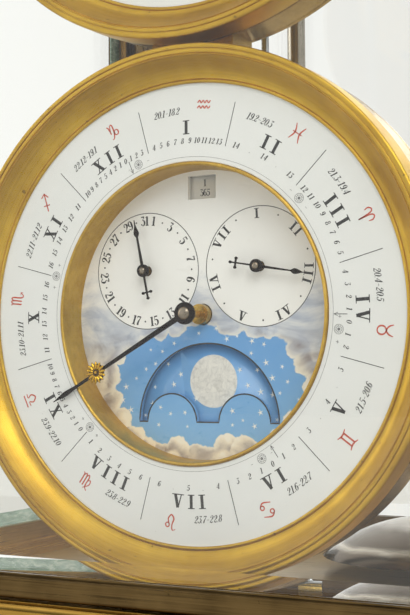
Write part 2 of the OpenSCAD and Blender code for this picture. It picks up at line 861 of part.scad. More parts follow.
// Moon disc, with the arbor and wheel that turn it
module moon_disc() {
  turn = mate(heading(idler_p, moon_p), idler_n, idler_turn, moon_n);
  color(sky) on_dial(cal_z) {
    disc(moon_p, moon_open_r + 1, disc_d, disc_d + disc_t);
    cal_arbor(moon_p, disc_d + disc_t);
    wheel(moon_p, moon_n, moon_m, turn, layer_d, layer_d + wheel_t, 5, 3, 0.9);
  }
}

// Arbor from a disc or a hand in front of the plate to its pivot in the back plate
module cal_arbor(p, near) {
  disc(p, cal_arbor_r, near, cal_back_d - cal_shake);
  disc(p, cal_pivot_r, cal_back_d - cal_shake, cal_back_d + cal_plate_t);
}

day_turn = mate(heading(red_p, day_p), red_n, 0, day_pinion_n);
idler_turn = mate(heading(day_p, idler_p), moon_pinion_n, day_turn, idler_n);

module moon_idler() {
  color(gilt) on_dial(cal_z)
    wheel(idler_p, idler_n, moon_m, idler_turn, layer_d, layer_d + wheel_t, 4, 3,
      cal_arbor_r + shaft_gap);
}

module leap_disc() {
  turn = mate(heading(year_p, leap_p), leap_pinion_n, 0, leap_n);
  color(enamel_white) on_dial(cal_z) {
    disc(leap_p, window_z + window_h / 2 - leap_z + 0.5, disc_d, disc_d + disc_t);
    cal_arbor(leap_p, disc_d + disc_t);
    wheel(leap_p, leap_n, leap_m, turn, layer_e, layer_e + wheel_t, 4, 3, 0.9);
  }
}

year_turn = mate(heading(red_p, year_p), red_pinion_n, 0, year_n);
hand_t = 0.6;
year_hand_f = 1.2;
rosette_at = 33.5;

module year_wheel() {
  color(gilt) on_dial(cal_z) {
    cal_arbor(year_p, -year_hand_f);
    wheel(year_p, year_n, year_m, year_turn, layer_b, layer_b + wheel_t, 5, 4, 0.9);
    pinion(year_p, leap_pinion_n, leap_m, 0, layer_e, layer_e + wheel_t, 0);
  }
}

// Slim hand without a tail, with a twelve petalled rosette, a dark hub and a domed steel end
module year_hand() {
  color(blued) on_dial(cal_z) rotate(-year_angle) {
    sheet([0, 0], -year_hand_f - hand_t, -year_hand_f) {
      blade(year_hand_l, 0.65, 0.4);
      circle(3.15);
    }
    sheet([0, rosette_at], -year_hand_f - hand_t - 0.9, -year_hand_f - hand_t) rosette(3.3, 12);
    disc([0, rosette_at], 1.1, -year_hand_f - hand_t - 1.3, -year_hand_f - hand_t - 0.9);
    turned([0, 0]) polygon(dome(1.8, year_hand_f + hand_t, 0.9));
  }
}

// Round flower with a given number of petals
module rosette(r, petals) {
  steps = 8 * petals;
  polygon([for (i = [0:steps - 1]) let (a = i * 360 / steps)
    polar(r * (0.8 + 0.2 * abs(sin(petals * a / 2))), a)]);
}

// Reduction wheel between the day arbor and the year wheel, on a stud
module year_reduction() {
  color(gilt) on_dial(cal_z) {
    wheel(red_p, red_n, red_m, 0, layer_a, layer_a + wheel_t, 5, 3, cal_arbor_r + shaft_gap);
    pinion(red_p, red_pinion_n, year_m, 0, layer_a + wheel_t, layer_b + wheel_t,
      cal_arbor_r + shaft_gap);
  }
}

// Wheel with pointed teeth that a lever steps on by one
module star(p, n, turn) {
  deep = n > 20 ? 1.6 : 4;
  sheet(p, layer_c, layer_c + wheel_t) difference() {
    polygon([for (i = [0:n - 1], s = [0, 1]) polar(star_r - s * deep, turn + (i + s * 0.5) * 360 / n)]);
    circle(0.9);
    for (a = [0:60:300]) rotate(a) translate([star_r * 0.5, 0]) circle(star_r * 0.17);
  }
}

module sub_arbor(p) {
  cal_arbor(p, sub_hand_d);
}

module date_wheel() {
  color(gilt) on_dial(cal_z) {
    sub_arbor(date_p);
    star(date_p, 31, 90 - date_angle);
  }
}

module day_wheel() {
  color(gilt) on_dial(cal_z) {
    sub_arbor(day_p);
    star(day_p, 7, 90 - day_angle);
    pinion(day_p, day_pinion_n, red_m, day_turn, layer_a, layer_a + wheel_t + 0.2, 0);
    pinion(day_p, moon_pinion_n, moon_m, day_turn, layer_d, layer_d + wheel_t, 0);
  }
}

// Small hand with a cross on its tail
module sub_hand(p, angle, length, tail) {
  color(blued) on_dial(cal_z) translate([p[0], p[1], 0]) rotate(-angle) {
    sheet([0, 0], sub_hand_d - hand_t, sub_hand_d) {
      polygon([[-0.8, 0], [-0.3, length - 2.5], [0, length], [0.3, length - 2.5], [0.8, 0]]);
      translate([-0.4, -tail]) square([0.8, tail]);
      translate([0, -tail]) {
        for (a = [0, 90, 180, 270]) rotate(a) translate([0, 0.9]) circle(0.75);
      }
      circle(1.7);
    }
    turned([0, 0]) polygon(dome(1.1, hand_t - sub_hand_d, 0.8));
  }
}

module date_hand() {
  sub_hand(date_p, date_angle, date_hand_l, sub_tail_l);
}

module day_hand() {
  sub_hand(day_p, day_angle, day_hand_l, sub_tail_l);
}

lever_p = [0, 44];
lever_reach = 10;
lever_tip = [34.5, 14];
trip_r = 1.2;
trip_low = cal_z + lever_p[1] - 3;
trip_high = time_z - 24;
guide_z = -30;

// Lever behind the calendar, with a pin at each end that reaches a star wheel
module trip_lever() {
  color(steel) on_dial(cal_z) {
    sheet([0, 0], lever_d, lever_d + lever_t) difference() {
      union() {
        translate(lever_p) circle(4.5);
        lever_arm([-lever_tip[0], lever_tip[1]], 2.6, 1.9);
        lever_arm(lever_tip, 2.6, 1.9);
        lever_arm(lever_p + [lever_reach + 1.5, 0], 3, 2.6);
      }
      translate(lever_p) circle(1.5 + shaft_gap);
      translate(lever_p + [lever_reach - 2, -0.9]) square([4, 1.8]);
    }
    for (s = [-1, 1]) disc([s * lever_tip[0], lever_tip[1]], 1, layer_d - cal_shake, lever_d);
  }
}

// Flat arm from the lever's pivot to a point, tapering between two half widths
module lever_arm(end, root_w, tip_w) {
  long = norm(end - lever_p);
  translate(lever_p) rotate(heading(lever_p, end)) {
    polygon([[0, -root_w], [long, -tip_w], [long, tip_w], [0, root_w]]);
    translate([long, 0]) circle(tip_w);
  }
}

// Rod that hangs in a guide under the time movement and lifts the lever
module trip_rod() {
  d = lever_d + lever_t + run_gap + trip_r;
  color(steel) translate([lever_reach, enamel_y + d, 0]) {
    translate([0, 0, trip_low]) cylinder(h = trip_high - trip_low, r = trip_r);
    translate([0, 0, cal_z + lever_p[1]]) rotate([90, 0, 0]) cylinder(h = d - lever_d + 0.3, r = 0.8);
  }
}

// Time works

pivot_r = 0.7;
arbor_r = 1.2;
pillar_angles = [25, 112, 240, 300];
pillar_span = plate_r - 4.5;
hour_pipe_r = 2.6;
centre_r = 1.5;
great_t = 2;
going_great_d = bay_d + 2;
barrel_far_d = bay_d + 19.5;
pin_wheel_d = barrel_far_d + 1.3;
centre_wheel_d = pin_wheel_d + 4.6;
third_wheel_d = centre_wheel_d + 3.4;
escape_d = third_wheel_d + 4;
train_t = 1.3;

// Holes that a plate has for the arbors that run in it
module pivot_holes() {
  for (p = [third_p, escape_p, pin_p, fly_p]) disc(p, pivot_r + shaft_gap, 0, deep);
}

module front_plate() {
  color(gilt) on_dial(time_z) {
    difference() {
      disc([0, 0], plate_r, front_plate_d, bay_d);
      pivot_holes();
      for (p = [pallet_p, hammer_p]) disc(p, pivot_r + shaft_gap, 0, deep);
      for (p = [going_p, strike_p]) disc(p, square_r + shaft_gap, 0, deep);
      disc(centre_p, centre_r + shaft_gap, 0, deep);
    }
    disc(motion_p, 1, motion_d - 2.8, front_plate_d);
    guide();
  }
}

// Ear with the hole that the trip rod slides in
module guide() {
  d = lever_d + lever_t + run_gap + trip_r;
  difference() {
    sheet([lever_reach, guide_z], bay_d, d + 3) square([6, 5], center = true);
    translate([lever_reach, guide_z - 5, -d]) rotate([-90, 0, 0]) cylinder(h = 10, r = trip_r + shaft_gap);
  }
}

module back_plate() {
  color(gilt) on_dial(time_z) {
    difference() {
      disc([0, 0], plate_r, back_plate_d, back_d);
      pivot_holes();
      disc(centre_p, pivot_r + shaft_gap, 0, deep);
      for (p = [going_p, strike_p]) disc(p, pivot_r * 2 + shaft_gap, 0, deep);
      disc(pallet_p, arbor_r + 1, 0, deep);
      disc(hammer_p, arbor_r + shaft_gap, 0, deep);
    }
    for (a = pillar_angles) {
      disc(polar(pillar_span, a), 2.5, bay_d, back_plate_d);
      disc(polar(pillar_span, a), 2.2, back_d, back_d + 1.4);
    }
  }
}

cock_d = back_d + 4.2;
cock_t = 2.5;
cock_foot = [20, 27];

// Bridge on the back plate that takes the rear pivot of the pallets and the suspension
module pendulum_cock() {
  color(gilt) on_dial(time_z) {
    difference() {
      union() {
        for (s = [-1, 1]) disc([s * cock_foot[0], cock_foot[1]], 3, back_d, cock_d + cock_t);
        sheet([0, 0], cock_d, cock_d + cock_t) polygon([
          [-cock_foot[0], cock_foot[1] - 3], [cock_foot[0], cock_foot[1] - 3],
          [cock_foot[0] + 3, cock_foot[1]], [6, pivot_z + 9], [-6, pivot_z + 9],
          [-cock_foot[0] - 3, cock_foot[1]]
        ]);
        sheet([0, pivot_z + 5.5], cock_d + cock_t, pendulum_d + 4.5) square([8, 7], center = true);
      }
      disc(pallet_p, pivot_r + shaft_gap, 0, deep);
      sheet([0, pivot_z + 2.5], pendulum_d - 3.6, pendulum_d + 6) square([0.8, 5], center = true);
    }
    for (s = [-1, 1]) disc([s * cock_foot[0], cock_foot[1]], 2, cock_d + cock_t, cock_d + cock_t + 1);
  }
}

// Barrel with its great wheel, bored for the winding arbor
module barrel(p, turn, wheel_d, near, far) {
  wheel(p, barrel_n, barrel_m, turn, wheel_d, wheel_d + great_t, 0, 0, square_r + shaft_gap);
  ring(p, barrel_r, square_r + shaft_gap, near, far);
  ring(p, barrel_r + 0.4, barrel_r - 2, far - 2, far);
}

module going_barrel() {
  color(gilt) on_dial(time_z)
    barrel(going_p, heading(going_p, centre_p), going_great_d, going_great_d + great_t, barrel_far_d);
}

module strike_barrel() {
  color(gilt) on_dial(time_z)
    barrel(strike_p, heading(strike_p, pin_p), barrel_far_d - great_t, going_great_d,
      barrel_far_d - great_t);
}

// Winding arbor: square for the key, ratchet in front of the barrel, pivot at the back
module winding(p) {
  ratchet_n = 18;
  color(steel) on_dial(time_z) {
    disc(p, square_r, front_plate_d - 4, barrel_far_d + 1);
    translate([p[0], p[1], 4 - front_plate_d]) rotate(45)
      cylinder(h = front_plate_d - 4 - recess_d + 4, r = square_r, $fn = 4);
    disc(p, 1.4, barrel_far_d + 1, back_d);
    sheet(p, bay_d + shake, bay_d + 1.5) polygon([for (i = [0:ratchet_n - 1], s = [0, 1])
      polar(6.6 - s, (i + s * 0.15) * 360 / ratchet_n)]);
  }
}

module going_winding() {
  winding(going_p);
}

module strike_winding() {
  winding(strike_p);
}

// Centre arbor: barrel pinion, centre wheel, and the cannon pinion in front of the plate
module centre_wheel() {
  first = mate(heading(going_p, centre_p), barrel_n, heading(going_p, centre_p), barrel_pinion_n);
  color(gilt) on_dial(time_z) {
    disc(centre_p, centre_r, -minute_f - hand_t - 0.6, bay_d + 1);
    disc(centre_p, arbor_r, bay_d + 1, back_plate_d - shake);
    disc(centre_p, pivot_r, back_plate_d - shake, back_d);
    pinion(centre_p, barrel_pinion_n, barrel_m, first, going_great_d - 0.6,
      going_great_d + great_t + 0.6, 0);
    wheel(centre_p, train_n, centre_m, heading(centre_p, third_p), centre_wheel_d,
      centre_wheel_d + train_t, 4, 3, 1);
    pinion(centre_p, cannon_n, motion_m, 90, motion_d, front_plate_d - 0.5, 0);
  }
}

hour_f = 1.2;
minute_f = 3;

// Hand with a long slender blade and a pierced round near the tip
module dial_hand(length, w, ring_at, ring_r, hub_r, bore) {
  difference() {
    union() {
      polygon([[-w, 0], [-w * 0.55, ring_at], [w * 0.55, ring_at], [w, 0]]);
      polygon([[-w * 1.1, ring_at + ring_r - 0.6], [0, length], [w * 1.1, ring_at + ring_r - 0.6]]);
      translate([0, ring_at]) circle(ring_r);
      circle(hub_r);
      polygon([[-w * 0.8, 0], [-w * 1.3, -hub_r * 3.4], [w * 1.3, -hub_r * 3.4], [w * 0.8, 0]]);
    }
    translate([0, ring_at + 0.5]) circle(ring_r * 0.62);
    circle(bore);
  }
}

module minute_hand() {
  color(blued) on_dial(time_z) rotate(-minute_angle) {
    sheet([0, 0], -minute_f - hand_t, -minute_f)
      dial_hand(minute_hand_l, 1.1, minute_hand_l - 14, 2.9, 3, centre_r);
    ring([0, 0], 2.2, centre_r, -minute_f - hand_t - 0.5, -minute_f - hand_t);
  }
}

// Hour hand on its pipe, with the wheel that the motion work drives
module hour_hand() {
  turn = mate(90, motion_pinion_n, 0, hour_n);
  color(blued) on_dial(time_z) {
    rotate(-hour_angle) sheet([0, 0], -hour_f - hand_t, -hour_f)
      dial_hand(hour_hand_l, 1.5, hour_hand_l - 14, 3.6, 3.6, hour_pipe_r - 0.1);
    ring([0, 0], hour_pipe_r, centre_r + shaft_gap, -hour_f - hand_t, motion_d - 2.2);
    wheel([0, 0], hour_n, hour_m, turn, motion_d - 2.4, motion_d - 1.2, 4, 4, centre_r + shaft_gap);
  }
}

module minute_wheel() {
  turn = mate(-90, cannon_n, 90, motion_n);
  color(gilt) on_dial(time_z) {
    wheel(motion_p, motion_n, motion_m, turn, motion_d + 0.8, motion_d + 2, 4, 3, 1 + shaft_gap);
    pinion(motion_p, motion_pinion_n, hour_m, 0, motion_d - 2.6, motion_d + 0.8, 1 + shaft_gap);
  }
}

third_turn = mate(heading(centre_p, third_p), train_n, heading(centre_p, third_p), train_pinion_n);

module third_wheel() {
  color(gilt) on_dial(time_z) {
    arbor(third_p, 0.8, bay_d + shake, back_plate_d - shake, front_plate_d, back_d, pivot_r);
    pinion(third_p, train_pinion_n, centre_m, third_turn, centre_wheel_d - 0.5,
      centre_wheel_d + train_t + 0.5, 0);
    wheel(third_p, train_n, third_m, heading(third_p, escape_p), third_wheel_d,
      third_wheel_d + train_t, 4, 2.5, 0.7);
  }
}

module escape_wheel() {
  turn = mate(heading(third_p, escape_p), train_n, heading(third_p, escape_p), train_pinion_n);
  color(gilt) on_dial(time_z) {
    arbor(escape_p, 0.75, bay_d + shake, back_plate_d - shake, front_plate_d, back_d, pivot_r);
    pinion(escape_p, train_pinion_n, third_m, turn, third_wheel_d - 0.5,
      third_wheel_d + train_t + 0.5, 0);
    sheet(escape_p, escape_d, escape_d + 1.2) difference() {
      polygon([for (i = [0:escape_n - 1], s = [0, 1])
        polar(escape_r - s * 1.4, (i + s * 0.3) * 360 / escape_n)]);
      difference() {
        circle(escape_r - 2.6);
        circle(1.8);
        for (a = [0:90:270]) rotate(a) translate([0, -0.5]) square([escape_r, 1]);
      }
    }
  }
}

// Anchor over the escape wheel, with the crutch that takes the pendulum rod
module pallets() {
  fork_z = 5;
  fork_w = rod_r + 0.12;
  color(steel) on_dial(time_z) {
    arbor(pallet_p, 1, bay_d + shake, cock_d - 0.2, front_plate_d, cock_d + cock_t - 0.3, pivot_r);
    sheet([0, 0], escape_d - 0.2, escape_d + 1.4) difference() {
      intersection() {
        translate(escape_p) circle(pivot_z - escape_p[1] + 1.8);
        translate(pallet_p) polygon([[-11, -7], [-2.5, 3], [2.5, 3], [11, -7]]);
      }
      translate(escape_p) circle(escape_r + 0.7);
    }
    sheet([0, 0], back_d + 1.2, back_d + 2.6) {
      translate([-1.2, fork_z]) square([2.4, pivot_z - fork_z]);
      translate(pallet_p) circle(2);
      translate([-fork_w - 1.5, fork_z - 2]) square([2 * fork_w + 3, 4]);
    }
    for (s = [-1, 1]) sheet([s * (fork_w + 0.75), fork_z], back_d + 2.6, pendulum_d + rod_r)
      square([1.5, 4], center = true);
  }
}

// Wheel of the striking work, with pins that lift the hammer
module pin_wheel() {
  turn = mate(heading(strike_p, pin_p), barrel_n, heading(strike_p, pin_p), barrel_pinion_n);
  color(gilt) on_dial(time_z) {
    arbor(pin_p, 0.9, bay_d + shake, back_plate_d - shake, front_plate_d, back_d, pivot_r);
    pinion(pin_p, barrel_pinion_n, barrel_m, turn, barrel_far_d - great_t - 0.5, barrel_far_d + 0.5, 0);
    wheel(pin_p, pin_n, pin_m, heading(pin_p, fly_p), pin_wheel_d, pin_wheel_d + train_t, 0, 0, 0.8);
    for (i = [0:9]) disc(pin_p + polar(pin_circle_r, i * 36), 0.5, pin_wheel_d + train_t,
      pin_wheel_d + train_t + 2);
  }
}

module fly() {
  turn = mate(heading(pin_p, fly_p), pin_n, heading(pin_p, fly_p), fly_pinion_n);
  color(gilt) on_dial(time_z) {
    arbor(fly_p, 0.9, bay_d + shake, back_plate_d - shake, front_plate_d, back_d, pivot_r);
    pinion(fly_p, fly_pinion_n, pin_m, turn, pin_wheel_d - 0.5, pin_wheel_d + train_t + 0.5, 0);
    sheet(fly_p, bay_d + 3, bay_d + 15) square([11.6, 0.6], center = true);
    ring(fly_p, 1.8, 0.8, bay_d + 2, bay_d + 16);
  }
}

// Round bar between two points
module bar(p, q, r) {
  v = q - p;
  translate(p) rotate([0, acos(v[2] / norm(v)), atan2(v[1], v[0])]) cylinder(h = norm(v), r = r);
}

hammer_d = back_d + 2.4;
hammer_knee = [-24, enamel_y + hammer_d, floor_z + 24];
hammer_rod_r = 1.1;
strike_side = 19;
head_r = 3.5;
head_l = 8;

// Hammer: a short tail by the pin wheel and a long bent rod down to the bell
module hammer() {
  top = [hammer_p[0], enamel_y + hammer_d, time_z + hammer_p[1]];
  toward = [-cos(strike_side), -sin(strike_side), 0];
  face = [bell_p[0], bell_p[1], bell_low + strike_up] + toward * (bell_r - 0.6 + run_gap);
  tail = pin_p - hammer_p;
  color(steel) {
    on_dial(time_z) {
      arbor(hammer_p, 0.9, bay_d + shake, back_plate_d, front_plate_d, back_plate_d, pivot_r);
      disc(hammer_p, arbor_r - 0.02, back_plate_d, back_d + 0.6);
      disc(hammer_p, 3, back_d + 0.6, hammer_d + 1.6);
      sheet(hammer_p, pin_wheel_d + train_t + 0.6, pin_wheel_d + train_t + 2) rotate(atan2(tail[1], tail[0]))
        polygon([[-2, -1.5], [4.2, -0.7], [4.2, 0.7], [-2, 1.5]]);
    }
    bar(top, hammer_knee, hammer_rod_r);
    translate(hammer_knee) sphere(hammer_rod_r * 1.4);
    bar(hammer_knee, face + toward * head_l / 2 + [0, 0, head_r - 0.5], hammer_rod_r);
    bar(face, face + toward * head_l, head_r);
  }
}

bob_z = time_z + pivot_z - pendulum_l;
thread_r = 1.6;
thread_l = 15;
nut_h = 4;
nut_r = 5;
spring_l = 13;
spring_w = 6;
clamp_h = 4.2;

// Rod of the pendulum, hanging from its suspension spring, with a thread below the bob
module pendulum_rod() {
  clamp_z = time_z + pivot_z - spring_l;
  rod_low = bob_z - bob_r + 3;
  color(steel) translate([0, enamel_y + pendulum_d, 0]) {
    translate([-0.1, -spring_w / 2, clamp_z + clamp_h - 0.2]) cube([0.2, spring_w, spring_l]);
    translate([-2.5, -spring_w / 2 - 1, clamp_z]) cube([5, spring_w + 2, clamp_h]);
    translate([0, 0, rod_low]) cylinder(h = clamp_z + 1 - rod_low, r = rod_r);
    translate([0, 0, rod_low + 1 - thread_l]) cylinder(h = thread_l, r = thread_r);
  }
}

// Lens shaped bob with a raised edge
module pendulum_bob() {
  curve = [for (i = [0:10]) let (t = i / 10)
    [(bob_r - 2) * sin(90 * t), 1.6 + (bob_t / 2 - 1.6) * cos(90 * t)]];
  back = [for (i = [10:-1:0]) [curve[i][0], -curve[i][1]]];
  color(gilt) translate([0, enamel_y + pendulum_d, bob_z]) difference() {
    rotate([90, 0, 0]) rotate_extrude() polygon(concat(curve,
      [[bob_r - 1.8, 2.2], [bob_r - 0.5, 2.2], [bob_r, 1.7], [bob_r, -1.7],
       [bob_r - 0.5, -2.2], [bob_r - 1.8, -2.2]], back));
    translate([0, 0, -bob_r - 1]) cylinder(h = 2 * bob_r + 2, r = rod_r + shaft_gap);
  }
}

module rating_nut() {
  color(gilt) translate([0, enamel_y + pendulum_d, bob_z - bob_r - nut_h - 0.2]) difference() {
    rotate_extrude() polygon([[0, 0], [nut_r - 0.6, 0], [nut_r, 0.6],
      [nut_r, nut_h - 0.8], [nut_r - 0.8, nut_h], [0, nut_h]]);
    translate([0, 0, -1]) cylinder(h = nut_h + 2, r = thread_r + shaft_gap);
  }
}

base_plinth();
feet();
floor_plate();
corner_posts();
side_rails();
left_glass();
right_glass();
ceiling_plate();
crown();
door_pins();
front_door_frame();
front_glass();
rear_door_frame();
rear_glass();
drum_mounts();
bell();
bell_post();
recess_rings();
calendar_drum();
calendar_bezel();
calendar_enamel();
calendar_centre();
calendar_front_plate();
calendar_back_plate();
moon_disc();
moon_idler();
leap_disc();
year_hand();
year_wheel();
year_reduction();
date_hand();
date_wheel();
day_hand();
day_wheel();
trip_lever();
trip_rod();
time_drum();
time_bezel();
time_enamel();
time_centre();
front_plate();
back_plate();
pendulum_cock();
going_barrel();
going_winding();
strike_barrel();
strike_winding();
minute_hand();
centre_wheel();
third_wheel();
escape_wheel();
pallets();
minute_wheel();
hour_hand();
pin_wheel();
fly();
hammer();
pendulum_rod();
pendulum_bob();
rating_nut();
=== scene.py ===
import json
import math
import random

import bmesh
import bpy
from mathutils import Matrix, Vector

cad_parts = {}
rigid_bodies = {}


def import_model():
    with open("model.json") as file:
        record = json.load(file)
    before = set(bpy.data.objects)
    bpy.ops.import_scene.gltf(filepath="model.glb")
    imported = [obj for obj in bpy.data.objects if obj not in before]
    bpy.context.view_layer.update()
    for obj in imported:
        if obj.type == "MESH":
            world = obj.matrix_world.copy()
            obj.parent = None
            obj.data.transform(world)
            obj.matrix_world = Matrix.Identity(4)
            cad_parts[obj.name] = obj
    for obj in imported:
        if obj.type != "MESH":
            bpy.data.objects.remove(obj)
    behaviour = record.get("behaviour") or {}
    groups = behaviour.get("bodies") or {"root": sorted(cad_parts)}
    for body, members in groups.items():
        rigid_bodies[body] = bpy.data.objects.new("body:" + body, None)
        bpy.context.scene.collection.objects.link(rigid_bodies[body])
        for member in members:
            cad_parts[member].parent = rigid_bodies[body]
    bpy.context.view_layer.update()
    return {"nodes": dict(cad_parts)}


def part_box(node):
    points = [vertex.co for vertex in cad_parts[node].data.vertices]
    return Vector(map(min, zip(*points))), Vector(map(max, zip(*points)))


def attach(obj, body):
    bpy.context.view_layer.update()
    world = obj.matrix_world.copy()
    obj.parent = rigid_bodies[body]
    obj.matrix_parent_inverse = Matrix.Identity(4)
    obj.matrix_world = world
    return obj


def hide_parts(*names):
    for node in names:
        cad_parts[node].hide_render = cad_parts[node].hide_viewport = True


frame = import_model()
NODES = frame["nodes"]

# Lengths in this script are millimetres, and meshes are scaled to metres when they are made.
MM = 0.001


def span(node):
    """Lowest and highest corner of a CAD node, in millimetres."""
    low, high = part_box(node)
    return low / MM, high / MM


def middle_of(node):
    """Middle of a node's box."""
    low, high = span(node)
    return (low + high) / 2


def half_width(node):
    """Half the width of a node's box, which is the radius of a round one."""
    low, high = span(node)
    return (high.x - low.x) / 2


# Places taken from the frame

enamel_low, enamel_high = span("calendar_enamel")
time_low, time_high = span("time_enamel")
bezel_low, bezel_high = span("calendar_bezel")
base_low, base_high = span("base_plinth")
post_low, post_high = span("corner_posts")
floor_low, floor_high = span("floor_plate")
foot_low, foot_high = span("feet")
ENAMEL_Y = enamel_low.y
ENAMEL_T = enamel_high.y - enamel_low.y
ENAMEL_LAP = 1.5
CAL = Vector((0, ENAMEL_Y, (enamel_low.z + enamel_high.z) / 2))
TIME = Vector((0, ENAMEL_Y, (time_low.z + time_high.z) / 2))
DIAL_R = half_width("calendar_enamel") - ENAMEL_LAP
BEZEL_R = half_width("calendar_bezel")
BEZEL_FRONT = ENAMEL_Y - bezel_low.y
BEZEL_BACK = bezel_high.y - ENAMEL_Y
RECESS_R = half_width("calendar_centre") - 1
RECESS_D = span("calendar_centre")[0].y - ENAMEL_Y
RECESS_BEAD = 1.15
DRUM_R = half_width("calendar_drum")
DRUM_D = span("calendar_drum")[1].y - ENAMEL_Y
DRUM_WALL = 3.4
CROWN_TOP = span("crown")[1].z
BODY_W = post_high.x - post_low.x
BODY_D = post_high.y - post_low.y
HALF_W = BODY_W / 2
HALF_D = BODY_D / 2
POST = (BODY_W - (floor_high.x - floor_low.x)) / 2
RIM_Z = post_low.z
CEILING_Z = post_high.z
FLOOR_Z = floor_high.z
PLINTH_OUT = base_high.x - HALF_W
LEDGE = 4
SKIN = 3


def add_object(name, data):
    """New object in the scene."""
    thing = bpy.data.objects.new(name, data)
    bpy.context.scene.collection.objects.link(thing)
    return thing


# Camera at the photograph's viewing angle, placed from the calendar dial

AZIMUTH = math.radians(28.3)
ELEVATION = math.radians(-2.38)
ROLL = math.radians(0.403)
CAMERA_DISTANCE = 369.9
DIAL_LEFT_OF_AXIS = 4.2
DIAL_BELOW_AXIS = 1.72
LENS = 76.98


def add_camera():
    flat = math.cos(ELEVATION)
    ahead = Vector((-math.sin(AZIMUTH) * flat, math.cos(AZIMUTH) * flat, -math.sin(ELEVATION)))
    level = Vector((math.cos(AZIMUTH), math.sin(AZIMUTH), 0))
    upright = level.cross(ahead)
    right = level * math.cos(ROLL) - upright * math.sin(ROLL)
    up = level * math.sin(ROLL) + upright * math.cos(ROLL)
    eye = CAL - ahead * CAMERA_DISTANCE + right * DIAL_LEFT_OF_AXIS + up * DIAL_BELOW_AXIS
    data = bpy.data.cameras.new("camera")
    data.sensor_fit = "VERTICAL"
    data.sensor_height = 36
    data.lens = LENS
    data.clip_start = 0.01
    data.clip_end = 20
    camera = add_object("camera", data)
    turn = Matrix((right, up, -ahead)).transposed()
    camera.matrix_world = Matrix.Translation(eye * MM) @ turn.to_4x4()
    bpy.context.scene.camera = camera


add_camera()


# Node trees

def operator(name, flipped=False):
    """Method that adds a math node for one of Python's operators."""
    def method(self, other):
        return self.tree.math(name, *((other, self) if flipped else (self, other)))
    return method


class Wire:
    """A socket of a node tree that Python's operators work on."""

    def __init__(self, tree, socket):
        self.tree = tree
        self.socket = socket

    __add__ = operator("ADD")
    __mul__ = operator("MULTIPLY")
    __sub__ = operator("SUBTRACT")
    __rsub__ = operator("SUBTRACT", True)
    __truediv__ = operator("DIVIDE")
    __pow__ = operator("POWER")


class Tree:
    """A node tree with short ways to add its nodes."""

    def __init__(self, nodes):
        self.nodes = nodes

    def node(self, kind, settings, values, output=0):
        """Adds a node. settings are its own, and values go to its sockets by name or number."""
        node = self.nodes.nodes.new(kind)
        for key, value in settings.items():
            setattr(node, key, value)
        for key, value in values.items():
            if isinstance(value, Wire):
                self.nodes.links.new(value.socket, node.inputs[key])
            else:
                node.inputs[key].default_value = value
        return Wire(self, node.outputs[output])

    def math(self, operation, *values):
        return self.node("ShaderNodeMath", {"operation": operation}, dict(enumerate(values)))

    def vector(self, operation, first, second):
        key = "Scale" if operation == "SCALE" else 1
        output = "Value" if operation == "DISTANCE" else 0
        return self.node("ShaderNodeVectorMath", {"operation": operation}, {0: first, key: second}, output)

    def clamp(self, value):
        return self.node("ShaderNodeClamp", {}, {0: value})

    def smooth(self, value, low, high, start=0.0, end=1.0):
        """start below low and end above high, with an eased step between."""
        return self.node("ShaderNodeMapRange", {"interpolation_type": "SMOOTHSTEP"}, {
            "Value": value, "From Min": low, "From Max": high, "To Min": start, "To Max": end})

    def mix_number(self, factor, a, b):
        return self.node("ShaderNodeMix", {"data_type": "FLOAT"}, {0: factor, 2: a, 3: b})

    def parts(self, vector):
        outputs = self.node("ShaderNodeSeparateXYZ", {}, {0: vector}).socket.node.outputs
        return [Wire(self, outputs[i]) for i in range(3)]

    def rays(self, *kinds):
        """Whether a ray is of each of these kinds."""
        outputs = self.nodes.nodes.new("ShaderNodeLightPath").outputs
        return [Wire(self, outputs[f"Is {kind} Ray"]) for kind in kinds]


class Finish(Tree):
    """One material: its tree, its coordinates in millimetres and its shader."""

    def __init__(self, name, constants):
        self.material = bpy.data.materials.new(name)
        self.material.use_nodes = True
        super().__init__(self.material.node_tree)
        self.shader = self.nodes.nodes["Principled BSDF"]
        self.surface = Wire(self, self.shader.outputs[0])
        for key, value in constants.items():
            self.shader.inputs[key].default_value = value

    def place(self, about=(0, 0, 0)):
        """Object coordinates in millimetres, from a point."""
        here = self.node("ShaderNodeTexCoord", {}, {}, "Object")
        return self.vector("SUBTRACT", self.vector("SCALE", here, 1 / MM), tuple(about))

    def join(self, x, y, z):
        return self.node("ShaderNodeCombineXYZ", {}, {0: x, 1: y, 2: z})

    def scaled(self, vector, by):
        return self.vector("MULTIPLY", vector, by)

    def noise(self, vector, scale, detail=2.0, roughness=0.5, distortion=0.0, output=0):
        return self.node("ShaderNodeTexNoise", {}, {
            "Vector": vector, "Scale": scale, "Detail": detail, "Roughness": roughness,
            "Distortion": distortion}, output)

    def mix(self, factor, a, b):
        return self.node("ShaderNodeMix", {"data_type": "RGBA"}, {0: factor, 6: a, 7: b}, 2)

    def ramp(self, value, *stops):
        wire = self.node("ShaderNodeValToRGB", {}, {0: value})
        elements = wire.socket.node.color_ramp.elements
        while len(elements) < len(stops):
            elements.new(0.5)
        for element, (place, colour) in zip(elements, stops):
            element.position = place
            element.color = colour
        return wire

    def done(self, colour, roughness, height=None, depth=0.0, strength=1.0):
        """Feeds the shader, with bumps from a height of 0 to 1 that are depth millimetres deep."""
        feeds = {"Base Color": colour, "Roughness": roughness}
        if height:
            feeds["Normal"] = self.node("ShaderNodeBump", {}, {
                "Strength": strength, "Distance": depth * MM, "Height": height})
        for key, wire in feeds.items():
            self.nodes.links.new(wire.socket, self.shader.inputs[key])
        return self.material

    def blend(self, factor, first, second):
        """Shows a mix of two shaders."""
        mixed = self.node("ShaderNodeMixShader", {}, {0: factor, 1: first, 2: second})
        self.nodes.links.new(mixed.socket, self.nodes.nodes["Material Output"].inputs["Surface"])
        return self.material


